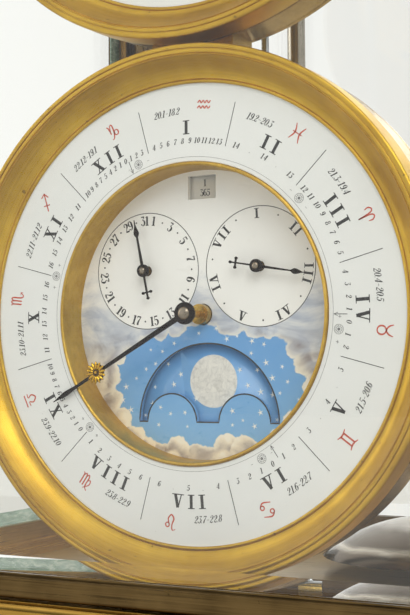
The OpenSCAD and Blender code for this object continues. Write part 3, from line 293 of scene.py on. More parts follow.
class Recipe(Tree):
    """A geometry tree with named inputs, whose result becomes a plain mesh."""

    def __init__(self, name, inputs):
        super().__init__(bpy.data.node_groups.new(name, "GeometryNodeTree"))
        face = self.nodes.interface
        face.new_socket("Geometry", in_out="OUTPUT", socket_type="NodeSocketGeometry")
        self.ids = {}
        for key, kind in inputs.items():
            item = face.new_socket(key, in_out="INPUT", socket_type="NodeSocket" + kind)
            self.ids[key] = item.identifier
        self.start = self.nodes.nodes.new("NodeGroupInput")

    def take(self, key):
        return Wire(self, self.start.outputs[key])

    def shape(self, key):
        """Geometry of the object that an input names."""
        return self.node("GeometryNodeObjectInfo", {}, {0: self.take(key)}, "Geometry")

    def chance(self, low, high):
        """Random number between two values for each point, from the input Seed."""
        return self.node("FunctionNodeRandomValue", {"data_type": "FLOAT"}, {
            2: low, 3: high, 8: self.take("Seed")}, 1)

    def finish(self, points, copy, size, most_turn):
        """Ends the tree in real meshes: a copy on each point, turned by chance, with its finish."""
        turn = self.node("ShaderNodeCombineXYZ", {}, {1: self.chance(0.0, most_turn)})
        copies = self.node("GeometryNodeInstanceOnPoints", {}, {
            "Points": points, "Instance": copy, "Scale": size, "Rotation": turn})
        real = self.node("GeometryNodeRealizeInstances", {}, {0: copies})
        done = self.node("GeometryNodeSetMaterial", {}, {"Geometry": real, "Material": self.take("Finish")})
        end = self.nodes.nodes.new("NodeGroupOutput")
        self.nodes.links.new(done.socket, end.inputs[0])

    def make(self, values):
        """Plain mesh of the tree's result. Inputs that are meshes become objects while it is made."""
        holders = [add_object("holder", bpy.data.meshes.new("holder"))]
        modifier = holders[0].modifiers.new("recipe", "NODES")
        modifier.node_group = self.nodes
        for key, value in values.items():
            if isinstance(value, bpy.types.Mesh):
                value = add_object(key.lower(), value)
                holders.append(value)
            modifier[self.ids[key]] = value
        depsgraph = bpy.context.evaluated_depsgraph_get()
        mesh = bpy.data.meshes.new_from_object(holders[0].evaluated_get(depsgraph))
        for holder in holders:
            bpy.data.objects.remove(holder)
        return mesh


# Meshes

def mesh_of(points, faces):
    """Mesh of points in millimetres."""
    mesh = bpy.data.meshes.new("shape")
    mesh.from_pydata([Vector(p) * MM for p in points], [], faces)
    return mesh


def tidy(mesh, smooth=None, merge=True):
    """Merges doubles, turns faces outwards and smooths between faces that meet under an angle."""
    work = bmesh.new()
    work.from_mesh(mesh)
    if merge:
        bmesh.ops.remove_doubles(work, verts=work.verts, dist=0.002 * MM)
    bmesh.ops.recalc_face_normals(work, faces=work.faces)
    work.to_mesh(mesh)
    work.free()
    if smooth:
        mesh.shade_smooth()
        mesh.set_sharp_from_angle(angle=math.radians(smooth))
    return mesh


def joined(meshes):
    """One mesh of several, with their materials kept apart."""
    work = bmesh.new()
    finishes = []
    for mesh in meshes:
        slots = list(mesh.materials)
        finishes += [m for m in slots if m not in finishes]
        before = len(work.faces)
        work.from_mesh(mesh)
        work.faces.ensure_lookup_table()
        for face in work.faces[before:]:
            if slots:
                face.material_index = finishes.index(slots[face.material_index])
    result = bpy.data.meshes.new("joined")
    work.to_mesh(result)
    work.free()
    for m in finishes:
        result.materials.append(m)
    return result


def painted(mesh, *finishes):
    mesh.materials.clear()
    for finish in finishes:
        mesh.materials.append(finish)
    return mesh


def piece(name, mesh, body, slot, *replaced):
    """Names a finished mesh as a piece of the clock that rides on a body."""
    mesh.name = name
    thing = add_object(name, mesh)
    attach(thing, body)
    if replaced:
        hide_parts(*replaced)


FORWARD = Matrix.Rotation(math.radians(90), 3, "X")
UPWARD = Matrix.Identity(3)


def lathe(profile, at, axis=FORWARD, segments=192):
    """Closed turned form: the outline gives radius and height along the axis, in millimetres."""
    points = []
    faces = []
    rows = len(profile)
    for s in range(segments):
        a = 2 * math.pi * s / segments
        for radius, height in profile:
            local = Vector((radius * math.cos(a), radius * math.sin(a), height))
            points.append(Vector(at) + axis @ local)
    for s in range(segments):
        t = (s + 1) % segments
        for i in range(rows):
            j = (i + 1) % rows
            corners = [s * rows + i, s * rows + j]
            if profile[j][0] > 1e-9:
                corners.append(t * rows + j)
            if profile[i][0] > 1e-9:
                corners.append(t * rows + i)
            if len(corners) > 2:
                faces.append(corners)
    return tidy(mesh_of(points, faces), 32)


def moulding(profile):
    """Mitred moulding round the case: the outline gives the distance out and the height."""
    points = [(sx * (HALF_W + out), sy * (HALF_D + out), height)
              for sx, sy in ((-1, -1), (1, -1), (1, 1), (-1, 1)) for out, height in profile]
    rows = len(profile)
    faces = []
    for c in range(4):
        d = (c + 1) % 4
        for i in range(rows):
            j = (i + 1) % rows
            faces.append([c * rows + i, d * rows + i, d * rows + j, c * rows + j])
    return tidy(mesh_of(points, faces), 32)


def prism_faces(count, start=0):
    """Faces of a closed form between two outlines of so many points."""
    near = range(start, start + count)
    ends = [list(near), [i + count for i in near]]
    return ends + [[i, j, j + count, i + count] for i, j in zip(near, [*near[1:], start])]


def on_dial(dial, across, up, forward):
    """Point by its place in the plane of a dial, forward of the enamel."""
    return Vector((dial.x + across, dial.y - forward, dial.z + up))


def polar(radius, degrees):
    """Point of a dial's plane at a clockwise angle from twelve."""
    a = math.radians(degrees)
    return radius * math.sin(a), radius * math.cos(a)


def round_points(x, z, radius, sides):
    turns = [2 * math.pi * i / sides for i in range(sides)]
    return [(x + radius * math.cos(a), z + radius * math.sin(a)) for a in turns]


def run(x, z, *steps):
    """Points of an outline that are given from one corner."""
    return [(x + out, z + up) for out, up in steps]


def arc(centre, radius, first, last, steps=8):
    """Points of an arc, anticlockwise in degrees."""
    turns = [math.radians(first + (last - first) * i / steps) for i in range(steps + 1)]
    return [(centre[0] + radius * math.cos(a), centre[1] + radius * math.sin(a)) for a in turns]


def hollow(start, end, bulge=False, steps=12):
    """Quarter curve between two points, hollow or bulging."""
    result = []
    for i in range(steps + 1):
        t = i / steps * math.pi / 2
        a, b = (math.sin(t), 1 - math.cos(t)) if bulge else (1 - math.cos(t), math.sin(t))
        result.append((start[0] + (end[0] - start[0]) * a, start[1] + (end[1] - start[1]) * b))
    return result


def bead(x, low, high, out, steps=12):
    """Half round that stands out from a wall."""
    turns = [math.pi * i / steps for i in range(steps + 1)]
    return [(x + out * math.sin(a), (low + high) / 2 - (high - low) / 2 * math.cos(a)) for a in turns]


def plate(outline, dial, near, far, bevel=0):
    """Flat closed form between two distances forward of the enamel, from an outline in the dial's plane."""
    points = [on_dial(dial, x, z, forward) for forward in (near, far) for x, z in outline]
    mesh = tidy(mesh_of(points, prism_faces(len(outline))))
    if bevel:
        work = bmesh.new()
        work.from_mesh(mesh)
        edges = [e for e in work.edges if len(e.link_faces) == 2 and e.calc_face_angle() > math.radians(40)]
        bmesh.ops.bevel(work, geom=edges, offset=bevel * MM, segments=2, affect="EDGES", profile=0.5)
        work.to_mesh(mesh)
        work.free()
    return mesh


def flowing(knots, closed=False, steps=7):
    """Smooth line through knots of any number of values."""
    count = len(knots)
    result = []
    for i in range(count if closed else count - 1):
        a, b, c, d = (knots[(i + k) % count] if closed else knots[min(max(i + k, 0), count - 1)]
                      for k in (-1, 0, 1, 2))
        for s in range(steps):
            t = s / steps
            result.append(tuple(
                0.5 * (2 * q + (r - p) * t + (2 * p - 5 * q + 4 * r - v) * t ** 2
                       + (3 * q - p - 3 * r + v) * t ** 3)
                for p, q, r, v in zip(a, b, c, d)))
    if not closed:
        result.append(tuple(knots[-1]))
    return result


PAINT_T = 0.03


class Drawing:
    """Painted lines of one colour on the plane of a dial, as thin closed strokes."""

    def __init__(self, dial, forward=0, steps=5):
        self.dial = dial
        self.forward = forward
        self.steps = steps
        self.points = []
        self.faces = []

    def stroke(self, line, closed=False):
        """A stroke through points of x, z and width."""
        count = len(line)
        start = len(self.points)
        for i, (x, z, width) in enumerate(line):
            before = line[i - 1] if closed or i else line[0]
            after = line[(i + 1) % count] if closed or i < count - 1 else line[-1]
            along = Vector((after[0] - before[0], after[1] - before[1]))
            along = along.normalized() if along.length > 1e-9 else Vector((1, 0))
            side = Vector((-along.y, along.x)) * width / 2
            for sign, level in ((-1, 0), (1, 0), (1, PAINT_T), (-1, PAINT_T)):
                self.points.append(on_dial(self.dial, x + sign * side.x, z + sign * side.y, self.forward + level))
        for i in range(count if closed else count - 1):
            a = start + 4 * i
            b = start + 4 * ((i + 1) % count)
            self.faces += [[a + k, a + (k + 1) % 4, b + (k + 1) % 4, b + k] for k in range(4)]
        if not closed:
            end = start + 4 * (count - 1)
            self.faces += [[start + k for k in range(4)], [end + k for k in range(4)]]

    def ray(self, degrees, near, far, width, tip=None, about=(0, 0)):
        """A straight stroke outwards or inwards, from one radius to another."""
        ends = ((near, width), (far, width if tip is None else tip))
        self.stroke([(about[0] + polar(r, degrees)[0], about[1] + polar(r, degrees)[1], w) for r, w in ends])

    def spot(self, x, z, radius, sides=14):
        """A filled round dot."""
        self.faces += prism_faces(sides, len(self.points))
        self.points += [on_dial(self.dial, *point, self.forward + level)
                        for level in (0, PAINT_T) for point in round_points(x, z, radius, sides)]

    def circle(self, x, z, radius, width, sides=120):
        self.stroke([(*point, width) for point in round_points(x, z, radius, sides)], True)

    def sign(self, glyph, x, z, height, turn, slant=0.0, weight=1.0, wide=1.0):
        """A glyph of strokes in a box one unit high, centred on a point and turned clockwise."""
        a = math.radians(turn)
        left, right = glyph_span(glyph)
        middle = (left + right) / 2

        def put(px, pz, width):
            u = ((px - middle) * wide + slant * (pz - 0.5)) * height
            v = (pz - 0.5) * height
            return (x + u * math.cos(a) + v * math.sin(a), z - u * math.sin(a) + v * math.cos(a),
                    width * height * weight)

        for kind, knots in glyph:
            if kind == "dot":
                px, pz, size = knots
                self.spot(*put(px, pz, 0)[:2], size * height)
            else:
                line = knots if kind == "line" else flowing(knots, kind == "loop", self.steps)
                self.stroke([put(*k) for k in line], kind == "loop")

    def write(self, letters, text, radius, degrees, height, inward=False, gap=0.16, slant=0.0, weight=1.0,
              wide=1.0, about=(0, 0)):
        """Writes text along a circle, centred at an angle, with its tops outward or inward."""
        widths = []
        for letter in text:
            left, right = glyph_span(letters[letter])
            widths.append(((right - left) * wide + gap) * height)
        way = -1 if inward else 1
        along = -sum(widths) / 2
        for letter, width in zip(text, widths):
            at = degrees + way * math.degrees((along + width / 2) / radius)
            x, z = polar(radius, at)
            turn = at + (180 if inward else 0)
            self.sign(letters[letter], about[0] + x, about[1] + z, height, turn, slant, weight, wide)
            along += width

    def add(self, name, finish, body="case"):
        """Makes the drawing a piece."""
        mesh = tidy(mesh_of(self.points, self.faces), merge=False)
        piece(name, painted(mesh, finish), body, "enamel")


def glyph_span(glyph):
    """Leftmost and rightmost knot of a glyph."""
    across = [k[0] for kind, knots in glyph for k in ([knots] if kind == "dot" else knots)]
    return min(across), max(across)


def oval(x, z, rx, rz, thin, thick):
    """Upright oval stroke, thick at its sides."""
    turns = [2 * math.pi * i / 12 for i in range(12)]
    return "loop", [(x + rx * math.cos(a), z + rz * math.sin(a), thin + (thick - thin) * math.cos(a) ** 2)
                    for a in turns]


def glyphs(table):
    """Glyphs from lines of text: a name, then strokes, each a kind and x, z and width in hundredths.

    An oval has its middle, its two radii and its thin and thick width. An indented line goes on
    with the glyph above it."""
    result = {}
    for line in table.strip().replace("\n  ", " ").splitlines():
        name, text = line.split(None, 1)
        result[name] = []
        for part in text.split(";"):
            kind, *words = part.replace(",", " ").split()
            values = [float(word) / 100 for word in words]
            knots = list(zip(values[::3], values[1::3], values[2::3]))
            stroke = oval(*values) if kind == "oval" else (kind, knots[0] if kind == "dot" else knots)
            result[name].append(stroke)
    return result


# Plain numerals: stems are thick and the rest is fine, as on an enamel dial

DIGITS = glyphs("""
0 oval 30 50 20 47 4.5 15
1 line 27 2 15, 27 98 15; line 22 96 5, 8 86 4; line 8 2 5, 46 2 5
2 dot 13 75 8; flow 10 72 6, 14 90 5, 30 98 6, 46 84 13, 44 62 14, 24 34 6, 7 6 4;
  flow 7 7 5, 22 10 12, 38 5 12, 50 8 6, 54 26 3
3 line 12 95 9, 50 95 9; line 49 95 5, 26 60 4;
  flow 26 59 4, 42 54 10, 50 34 15, 42 10 11, 26 2 5, 12 12 5; dot 13 16 7.5
4 line 42 96 5, 4 30 5; line 2 29 5.5, 58 29 5.5; line 42 98 14, 42 2 14; line 28 2 5, 56 2 5
5 line 14 94 10, 50 94 10; line 15 94 4, 13 54 4;
  flow 13 55 4, 30 62 6, 47 48 13, 48 24 14, 36 5 7, 20 2 5, 11 12 4; dot 13 17 7.5
6 oval 30 30 18 28 5 14; flow 46 88 6, 36 97 5, 20 86 10, 12 60 15, 12 30 14; dot 45 86 7
7 line 8 93 10, 52 93 10; line 9 96 3, 8 74 3; flow 51 92 5, 36 60 8, 25 30 14, 24 2 16
8 oval 30 75 15 21 4.5 11; oval 30 27 19 25 4.5 14
9 oval 30 70 18 28 5 14; flow 14 12 6, 24 3 5, 40 14 10, 48 40 15, 48 70 14; dot 15 14 7
. dot 10 6 6
- line 5 42 5, 40 42 5
+ line 5 45 7, 50 45 7; line 27.5 22 7, 27.5 68 7
""")


def romans(stem, fine, serif):
    """Roman numerals with slab serifs, for a given thickness of stem, fine stroke and serif."""
    low = serif / 2
    high = 1 - serif / 2
    wide = stem * 1.15

    def line(x, z, end_x, end_z, width):
        return "line", [(x, z, width), (end_x, end_z, width)]

    def slab(x, z, reach):
        return line(x - reach, z, x + reach, z, serif)

    return {
        "I": [line(0.2, low, 0.2, high, stem), slab(0.2, low, wide), slab(0.2, high, wide)],
        "V": [line(0.16, high, 0.4, low, stem), line(0.64, high, 0.42, low, fine),
              slab(0.16, high, wide), slab(0.64, high, wide * 0.8)],
        "X": [line(0.16, high, 0.6, low, stem), line(0.6, high, 0.16, low, fine), slab(0.16, high, wide),
              slab(0.6, high, wide * 0.8), slab(0.16, low, wide * 0.8), slab(0.6, low, wide)],
    }


ROMAN = ("I", "II", "III", "IV", "V", "VI", "VII", "VIII", "IX", "X", "XI", "XII")
BOLD = romans(0.23, 0.085, 0.065)
HOURS = romans(0.13, 0.035, 0.035)


# Signs of the zodiac, as traditional strokes

SIGNS = glyphs("""
aquarius flow 0 58 7.5, 12 72 7.5, 24 58 7.5, 36 72 7.5, 48 58 7.5, 60 72 7.5, 72 58 7.5, 84 72 7.5;
  flow 0 26 7.5, 12 40 7.5, 24 26 7.5, 36 40 7.5, 48 26 7.5, 60 40 7.5, 72 26 7.5, 84 40 7.5
pisces flow 4 98 5, 22 50 10, 4 2 5; flow 72 98 5, 54 50 10, 72 2 5; line 6 50 6, 70 50 6
aries flow 6 56 5, 2 80 8, 18 96 8, 33 78 8, 38 4 7; flow 70 56 5, 74 80 8, 58 96 8, 43 78 8, 38 4 7
taurus oval 36 30 24 26 7 10; flow 4 98 5, 14 72 9, 36 58 8, 58 72 9, 68 98 5
gemini flow 0 98 5, 36 88 10, 72 98 5; flow 0 2 5, 36 12 10, 72 2 5;
  line 22 10 10, 22 90 10; line 50 10 10, 50 90 10
cancer oval 14 68 12 12 7 8; oval 66 32 12 12 7 8;
  flow 2 74 6, 26 94 9, 76 82 5; flow 78 26 6, 54 6 9, 4 18 5
leo oval 14 36 12 13 7 8; flow 25 42 6, 17 72 8, 36 96 8, 54 74 10, 44 40 8, 48 8 7, 68 14 4
virgo flow 0 88 5, 9 84 8, 11 50 9, 11 14 9; flow 11 74 5, 22 92 8, 31 76 9, 31 14 9;
  flow 31 74 5, 42 92 8, 51 76 9, 52 20 8, 74 0 5; flow 52 58 5, 68 68 7, 72 40 7, 42 2 5
libra line 0 10 8, 78 10 8; flow 0 34 6, 26 34 6, 16 62 8, 39 86 9, 62 62 8, 52 34 6, 78 34 6
scorpio flow 0 88 5, 9 84 8, 11 50 9, 11 14 9; flow 11 74 5, 22 92 8, 31 76 9, 31 14 9;
  flow 31 74 5, 42 92 8, 51 76 9, 52 22 9, 64 4 7, 82 22 5; line 70 24 4, 84 26 5, 86 10 4
sagittarius line 2 4 8, 70 92 8; line 38 94 7, 74 96 7; line 72 98 7, 72 56 7; line 8 50 7, 42 20 7
capricorn flow 0 92 5, 10 78 8, 16 36 8; flow 16 50 5, 24 88 7, 38 86 8, 38 40 9, 26 6 7, 12 2 4;
  oval 53 34 14 16 6 9
""")


# Finishes

def rgb(red, green, blue):
    """Linear colour of a screen colour given in 0 to 255."""
    shares = [value / 255 for value in (red, green, blue)]
    return [s / 12.92 if s <= 0.04045 else ((s + 0.055) / 1.055) ** 2.4 for s in shares] + [1.0]


def darker(colour, share):
    return [c * share for c in colour[:3]] + [1]


def turned_brass(name, about, dark, light, rough, grain, spots=0.0):
    """Brass turned about a dial's centre: fine rings, soft changes of colour and small dark spots."""
    finish = Finish(name, {"Metallic": 1.0})
    here = finish.place(about)
    x, y, z = finish.parts(here)
    radius = (x * x + z * z) ** 0.5
    angle = finish.math("ARCTAN2", x, z)
    rings = finish.noise(finish.join(radius * 3.2, angle * 1.3, y * 1.5), 1.0, 3.0, 0.65)
    cloud = finish.noise(here, 0.045, 3.0, 0.6)
    colour = finish.mix(finish.smooth(rings * (0.45 * grain) + cloud * 0.8, 0.3, 0.95), dark, light)
    if spots:
        speck = finish.smooth(finish.noise(here, 0.55), 0.71, 0.78) * spots
        stain = finish.smooth(finish.noise(here, 0.1, 4.0, 0.7), 0.62, 0.78) * (spots * 0.45)
        colour = finish.mix(finish.clamp(speck + stain), colour, rgb(84, 58, 26))
    return finish.done(colour, finish.clamp((rings - 0.5) * 0.22 * grain + rough), rings, 0.01 * grain)


def drawn_metal(name, stretch, dark, light, rough, streak, spots, metallic=1.0):
    """Metal grained along one axis, which has the smallest stretch."""
    finish = Finish(name, {"Metallic": metallic})
    here = finish.place()
    lines = finish.noise(finish.scaled(here, stretch), 1.0, 4.0, 0.6)
    cloud = finish.noise(here, 0.06, 3.0, 0.6)
    colour = finish.mix(finish.smooth(lines * (0.7 * streak) + cloud * 0.6, 0.3, 0.85), dark, light)
    speck = finish.smooth(finish.noise(here, 0.6), 0.7, 0.77) * spots
    colour = finish.mix(finish.clamp(speck), colour, darker(dark, 0.35))
    return finish.done(colour, finish.clamp((lines - 0.5) * 0.25 * streak + rough), lines, 0.006)


def polished(name, colour, rough, cloudy=0.06, stain=None):
    """Bright metal with faint clouding and fine random wear."""
    finish = Finish(name, {"Metallic": 1.0})
    here = finish.place()
    cloud = finish.noise(here, 0.08, 4.0, 0.6)
    wear = finish.noise(finish.scaled(here, (1.0, 1.0, 3.0)), 0.7, 3.0, 0.6)
    tone = finish.mix(finish.smooth(cloud, 0.35, 0.8), colour, stain or darker(colour, 0.72))
    dull = finish.clamp((cloud - 0.5) * cloudy * 2 + (wear - 0.5) * cloudy + rough)
    return finish.done(tone, dull, wear, 0.003)


def bell_metal(name):
    """Polished bell metal, coloured in bands by height that are painted reflection, with a bright painted
    highlight line.
    """
    finish = Finish(name, {"Metallic": 1.0})
    low, high = span("bell")
    middle = middle_of("bell")
    here = finish.place((middle.x, middle.y, low.z))
    x, y, z = finish.parts(here)
    rings = finish.noise(finish.join((x * x + y * y) ** 0.5 * 0.8, 0.0, 0.0), 1.0)
    cloud = finish.noise(finish.scaled(here, (1, 1, 2)), 0.07, 3.0, 0.6)
    level = finish.clamp(z / (high.z - low.z) + (cloud - 0.5) * 0.22 + (rings - 0.5) * 0.05)
    # Painted reflection: the dark bands and the bright band near a third of the height stand in for the room and a
    # highlight mirrored in the dome.
    colour = finish.ramp(level, (0.0, rgb(70, 58, 46)), (0.2, rgb(104, 90, 76)), (0.31, rgb(190, 182, 168)),
                         (0.42, rgb(98, 86, 74)), (0.72, rgb(120, 110, 100)), (0.88, rgb(196, 190, 182)))
    return finish.done(colour, finish.clamp((rings - 0.5) * 0.06 + cloud * 0.06 + 0.1))


def enamel_white(name, about):
    """Fired white enamel: glossy, faintly uneven, with a few tiny specks."""
    finish = Finish(name, {"Coat Weight": 0.6, "Coat Roughness": 0.06})
    here = finish.place(about)
    soft = finish.noise(here, 0.05)
    speck = finish.smooth(finish.noise(here, 1.1, 1.0, 0.4), 0.79, 0.83) * 0.4
    colour = finish.mix(soft, rgb(229, 230, 227), rgb(237, 238, 237))
    colour = finish.mix(speck, colour, rgb(150, 146, 134))
    return finish.done(colour, soft * 0.06 + 0.2, finish.noise(here, 0.12), 0.05, 0.25)


def paint(name, colour, thin):
    """Fired paint of a line, which lets a little of the enamel through in places."""
    finish = Finish(name, {})
    worn = finish.noise(finish.place(), 1.6, 3.0, 0.7)
    colour = finish.mix(finish.smooth(worn, 0.5, 0.9) * thin, colour, rgb(231, 231, 226))
    return finish.done(colour, worn * 0.15 + 0.35)


def sky_blue(finish, here):
    """Painted blue, deeper above, with soft brush strokes."""
    brush = finish.noise(finish.scaled(here, (0.5, 0.5, 1.1)), 0.4, 4.0, 0.6, 1.2)
    height = finish.smooth(finish.parts(here)[2], -44, -4)
    blue = finish.mix(finish.clamp(height * 0.7 + brush * 0.5 - 0.1), rgb(128, 182, 226), rgb(90, 154, 216))
    return finish.mix(finish.smooth(brush, 0.58, 0.85) * 0.3, blue, rgb(156, 196, 226))


# The two sub-dials stand either side of the middle, and the blue sky is a rounded field below it.
SUB_X = 18.3
SUB_Z = 13.1
SUB_R = 17
SKY = (1.0, -20.5)
SKY_HALF = (30.5, 17.0)
SKY_SQUARENESS = 2.4
CENTRE_R = 41


def cloud_lobes():
    """Rounds of cloud in rows about the blue, each with a centre, a radius and the softness of its edge."""
    seeded = random.Random(11)
    lobes = []
    for shift, size, count, soft in ((2.0, 3.7, 21, 0.1), (6.5, 5.6, 14, 0.35), (12.0, 7.5, 9, 0.55)):
        for i in range(count):
            a = 2 * math.pi * (i + seeded.uniform(-0.3, 0.3)) / count
            r = size * seeded.uniform(0.65, 1.3)
            out = shift + seeded.uniform(-0.8, 0.8)
            x, z = (middle + (half + out) * math.copysign(abs(way) ** 0.85, way)
                    for middle, half, way in zip(SKY, SKY_HALF, (math.cos(a), math.sin(a))))
            if math.hypot(x, z) < CENTRE_R + r:
                lobes.append((x, z, r, soft))
    return lobes


def painted_sky(name, about):
    """Recessed centre: white enamel above, and a blue sky below among soft clouds with lit rims."""
    finish = Finish(name, {"Coat Weight": 0.35, "Coat Roughness": 0.1})
    flat = finish.place(about)
    x, _, z = finish.parts(flat)
    level_point = finish.join(x, 0.0, z)
    wave = finish.noise(flat, 0.11, 4.0, 0.55, output="Color")
    drift = finish.vector("SCALE", finish.vector("SUBTRACT", wave, (0.5, 0.5, 0.5)), 6.5)
    here = finish.scaled(finish.vector("ADD", level_point, drift), (1, 0, 1))
    hx, _, hz = finish.parts(here)
    across = finish.math("ABSOLUTE", (hx - SKY[0]) / SKY_HALF[0]) ** SKY_SQUARENESS
    upward = finish.math("ABSOLUTE", (hz - SKY[1]) / SKY_HALF[1]) ** SKY_SQUARENESS
    inward = ((across + upward) ** (1 / SKY_SQUARENESS) - 1) * SKY_HALF[1]
    lit = 0.42
    for cx, cz, r, soft in cloud_lobes():
        away = finish.vector("DISTANCE", here, (cx, 0, cz))
        if soft < 0.2:
            inward = finish.math("MAXIMUM", inward, r - away)
        way = Vector((SKY[0] - cx, 0, SKY[1] - cz)).normalized()
        along = hx * way.x + hz * way.z - (cx * way.x + cz * way.z)
        lit = finish.mix_number(finish.smooth(away, r, r * (1 - soft)), lit,
                                finish.smooth(along, r * -0.5, r * 0.9) * 0.95)
    swirl = finish.noise(finish.scaled(flat, (0.7, 1, 1.1)), 0.085, 3.0, 0.5, 2.2)
    streaks = finish.noise(finish.scaled(flat, (0.6, 1, 1.2)), 0.3, 3.0, 0.55, 1.2)
    lower = finish.smooth(z, -8, -20)
    level = finish.clamp(lit * (lower * 0.55 + 0.25) + (swirl - 0.5) * 1.2 + (streaks - 0.5) * 0.3
                         - lower * 0.16 + 0.34)
    warm = finish.ramp(level, (0.0, rgb(134, 116, 104)), (0.25, rgb(164, 150, 140)), (0.45, rgb(190, 180, 168)),
                       (0.65, rgb(218, 207, 188)), (0.85, rgb(238, 228, 206)), (1.0, rgb(244, 238, 222)))
    cool = finish.ramp(level, (0.0, rgb(150, 160, 182)), (0.3, rgb(176, 186, 204)), (0.6, rgb(208, 212, 218)),
                       (1.0, rgb(236, 234, 228)))
    cloud = finish.mix(finish.smooth(z + (swirl - 0.5) * 30, -24, -2), warm, cool)
    rim = finish.smooth(inward, 1.7, 0.2) * (lower * 0.35 + 0.45)
    cloud = finish.mix(rim, cloud, rgb(242, 236, 218))
    colour = finish.mix(finish.smooth(inward, 0.0, 0.35), sky_blue(finish, flat), cloud)
    fade = finish.smooth(z + (streaks - 0.5) * 10 + (swirl - 0.5) * 22, -6, 16)
    for side in (-1, 1):
        away = finish.vector("DISTANCE", level_point, (side * SUB_X, 0, SUB_Z))
        fade = finish.math("MAXIMUM", fade, finish.smooth(away, SUB_R + 0.15, SUB_R - 0.15))
    # This white is lighter than the ring's enamel: painted light that lifts the recessed centre out of the shade
    # of its wall.
    white = finish.mix(finish.noise(flat, 0.05), rgb(242, 241, 237), rgb(248, 247, 244))
    return finish.done(finish.mix(fade, colour, white), streaks * 0.1 + 0.24)


def moon_sky(name, about):
    """Blue of the disc that carries the moons."""
    finish = Finish(name, {"Coat Weight": 0.3, "Coat Roughness": 0.1})
    here = finish.place(about)
    return finish.done(sky_blue(finish, here), finish.noise(here, 0.3) * 0.1 + 0.26)


def moon_face(name, about):
    """Mottled pale moon with soft plains and small rings."""
    finish = Finish(name, {})
    here = finish.place(about)
    plains = finish.noise(here, 0.3, 5.0, 0.7, 0.8)
    rings = finish.node("ShaderNodeTexVoronoi", {"feature": "DISTANCE_TO_EDGE"}, {"Vector": here, "Scale": 0.55})
    fine = finish.noise(here, 2.2, 3.0, 0.7, 0.4)
    tone = finish.clamp(plains * 0.75 + finish.smooth(rings, 0.0, 0.2) * 0.08 + fine * 0.35 - 0.18)
    colour = finish.ramp(tone, (0.15, rgb(186, 184, 178)), (0.4, rgb(222, 220, 214)),
                         (0.6, rgb(240, 237, 229)), (0.9, rgb(248, 246, 240)))
    return finish.done(colour, fine * 0.1 + 0.4, plains, 0.02)


GLASS_IOR = 1.52


def bevel_green(name):
    """Bevel of a side pane seen at a slant: pale green with bright ripples that are painted glints of refracted
    light, and clear further forward.
    """
    finish = Finish(name, {"Transmission Weight": 0.3, "IOR": GLASS_IOR})
    here = finish.place()
    ripple_and_glint = finish.noise(finish.scaled(here, (1, 0.16, 0.5)), 0.9, 3.0, 0.55, 0.8)
    soft = finish.noise(here, 0.07)
    # Green tint of the glass, with pale ripples that are painted glints of light refracted through the bevel; the
    # same ripples also make its bumps.
    colour = finish.ramp(finish.clamp(ripple_and_glint * 1.3 + soft * 0.5 - 0.4), (0.2, rgb(88, 124, 100)),
                         (0.5, rgb(136, 168, 142)), (0.8, rgb(206, 220, 196)))
    finish.done(colour, soft * 0.1 + 0.12, ripple_and_glint, 0.02)
    clear = finish.node("ShaderNodeBsdfTransparent", {}, {"Color": (0.97, 0.99, 0.97, 1)})
    return finish.blend(finish.smooth(finish.parts(here)[1], -34, -20), clear, finish.surface)


def glass(name, tint, rough=0.0):
    """Clear glass that lets the lamps' light and soft light pass straight through."""
    finish = Finish(name, {"Base Color": tint, "Roughness": rough, "IOR": GLASS_IOR, "Transmission Weight": 1.0})
    shadow, soft = finish.rays("Shadow", "Diffuse")
    clear = finish.node("ShaderNodeBsdfTransparent", {}, {"Color": [c ** 0.5 for c in tint[:3]] + [1]})
    return finish.blend(finish.math("MAXIMUM", shadow, soft), finish.surface, clear)


BEZEL_TONES = (rgb(174, 132, 30), rgb(224, 184, 62), 0.42, 1.0, 0.6)
WORKS_TONES = (rgb(176, 142, 66), rgb(214, 180, 100), 0.26, 0.8)
BRONZE_TONES = (rgb(66, 52, 30), rgb(120, 98, 62), 0.3, 1.0, 0.6)
CAL_BEZEL = turned_brass("calendar_bezel_gilt", CAL, *BEZEL_TONES)
TIME_BEZEL = turned_brass("time_bezel_gilt", TIME, *BEZEL_TONES)
CAL_WORKS = turned_brass("calendar_works_brass", CAL, *WORKS_TONES)
TIME_WORKS = turned_brass("time_works_brass", TIME, *WORKS_TONES)
BOB_GILT = turned_brass("bob_gilt", middle_of("pendulum_bob"), rgb(176, 138, 50), rgb(226, 188, 86), 0.2, 0.7)
DRUM_GILT = drawn_metal("drum_gilt", (0.5, 0.05, 0.5), rgb(142, 108, 28), rgb(182, 146, 52), 0.22, 0.5, 0.3)
RECESS_GILT = drawn_metal("recess_gilt", (0.4, 0.6, 0.4), rgb(184, 144, 46), rgb(228, 190, 84), 0.46, 0.6, 0.4)
CASE_GILT = drawn_metal("case_gilt", (0.03, 0.03, 2.2), rgb(166, 126, 52), rgb(202, 162, 80), 0.26, 0.9, 0.4)
POST_GILT = drawn_metal("post_gilt", (2.2, 2.2, 0.03), rgb(150, 112, 48), rgb(206, 166, 88), 0.24, 0.9, 0.5)
POST_BRONZE = drawn_metal("post_bronze", (2.2, 2.2, 0.03), rgb(88, 62, 24), rgb(142, 108, 52), 0.28, 0.9, 0.5)
RAIL_GILT = drawn_metal("rail_gilt", (1.4, 0.03, 2.4), rgb(164, 128, 60), rgb(206, 170, 98), 0.3, 1.0, 0.6)
RAIL_BRONZE = drawn_metal("rail_bronze", (0.03, 1.4, 2.4), *BRONZE_TONES)
STILE_BRONZE = drawn_metal("stile_bronze", (2.4, 1.4, 0.03), *BRONZE_TONES)
FLOOR_SATIN = drawn_metal("floor_satin", (0.04, 1.6, 0.5), rgb(150, 126, 82), rgb(190, 164, 116), 0.3, 0.7,
                          0.3, 0.6)
STEEL = polished("steel", rgb(186, 188, 190), 0.18)
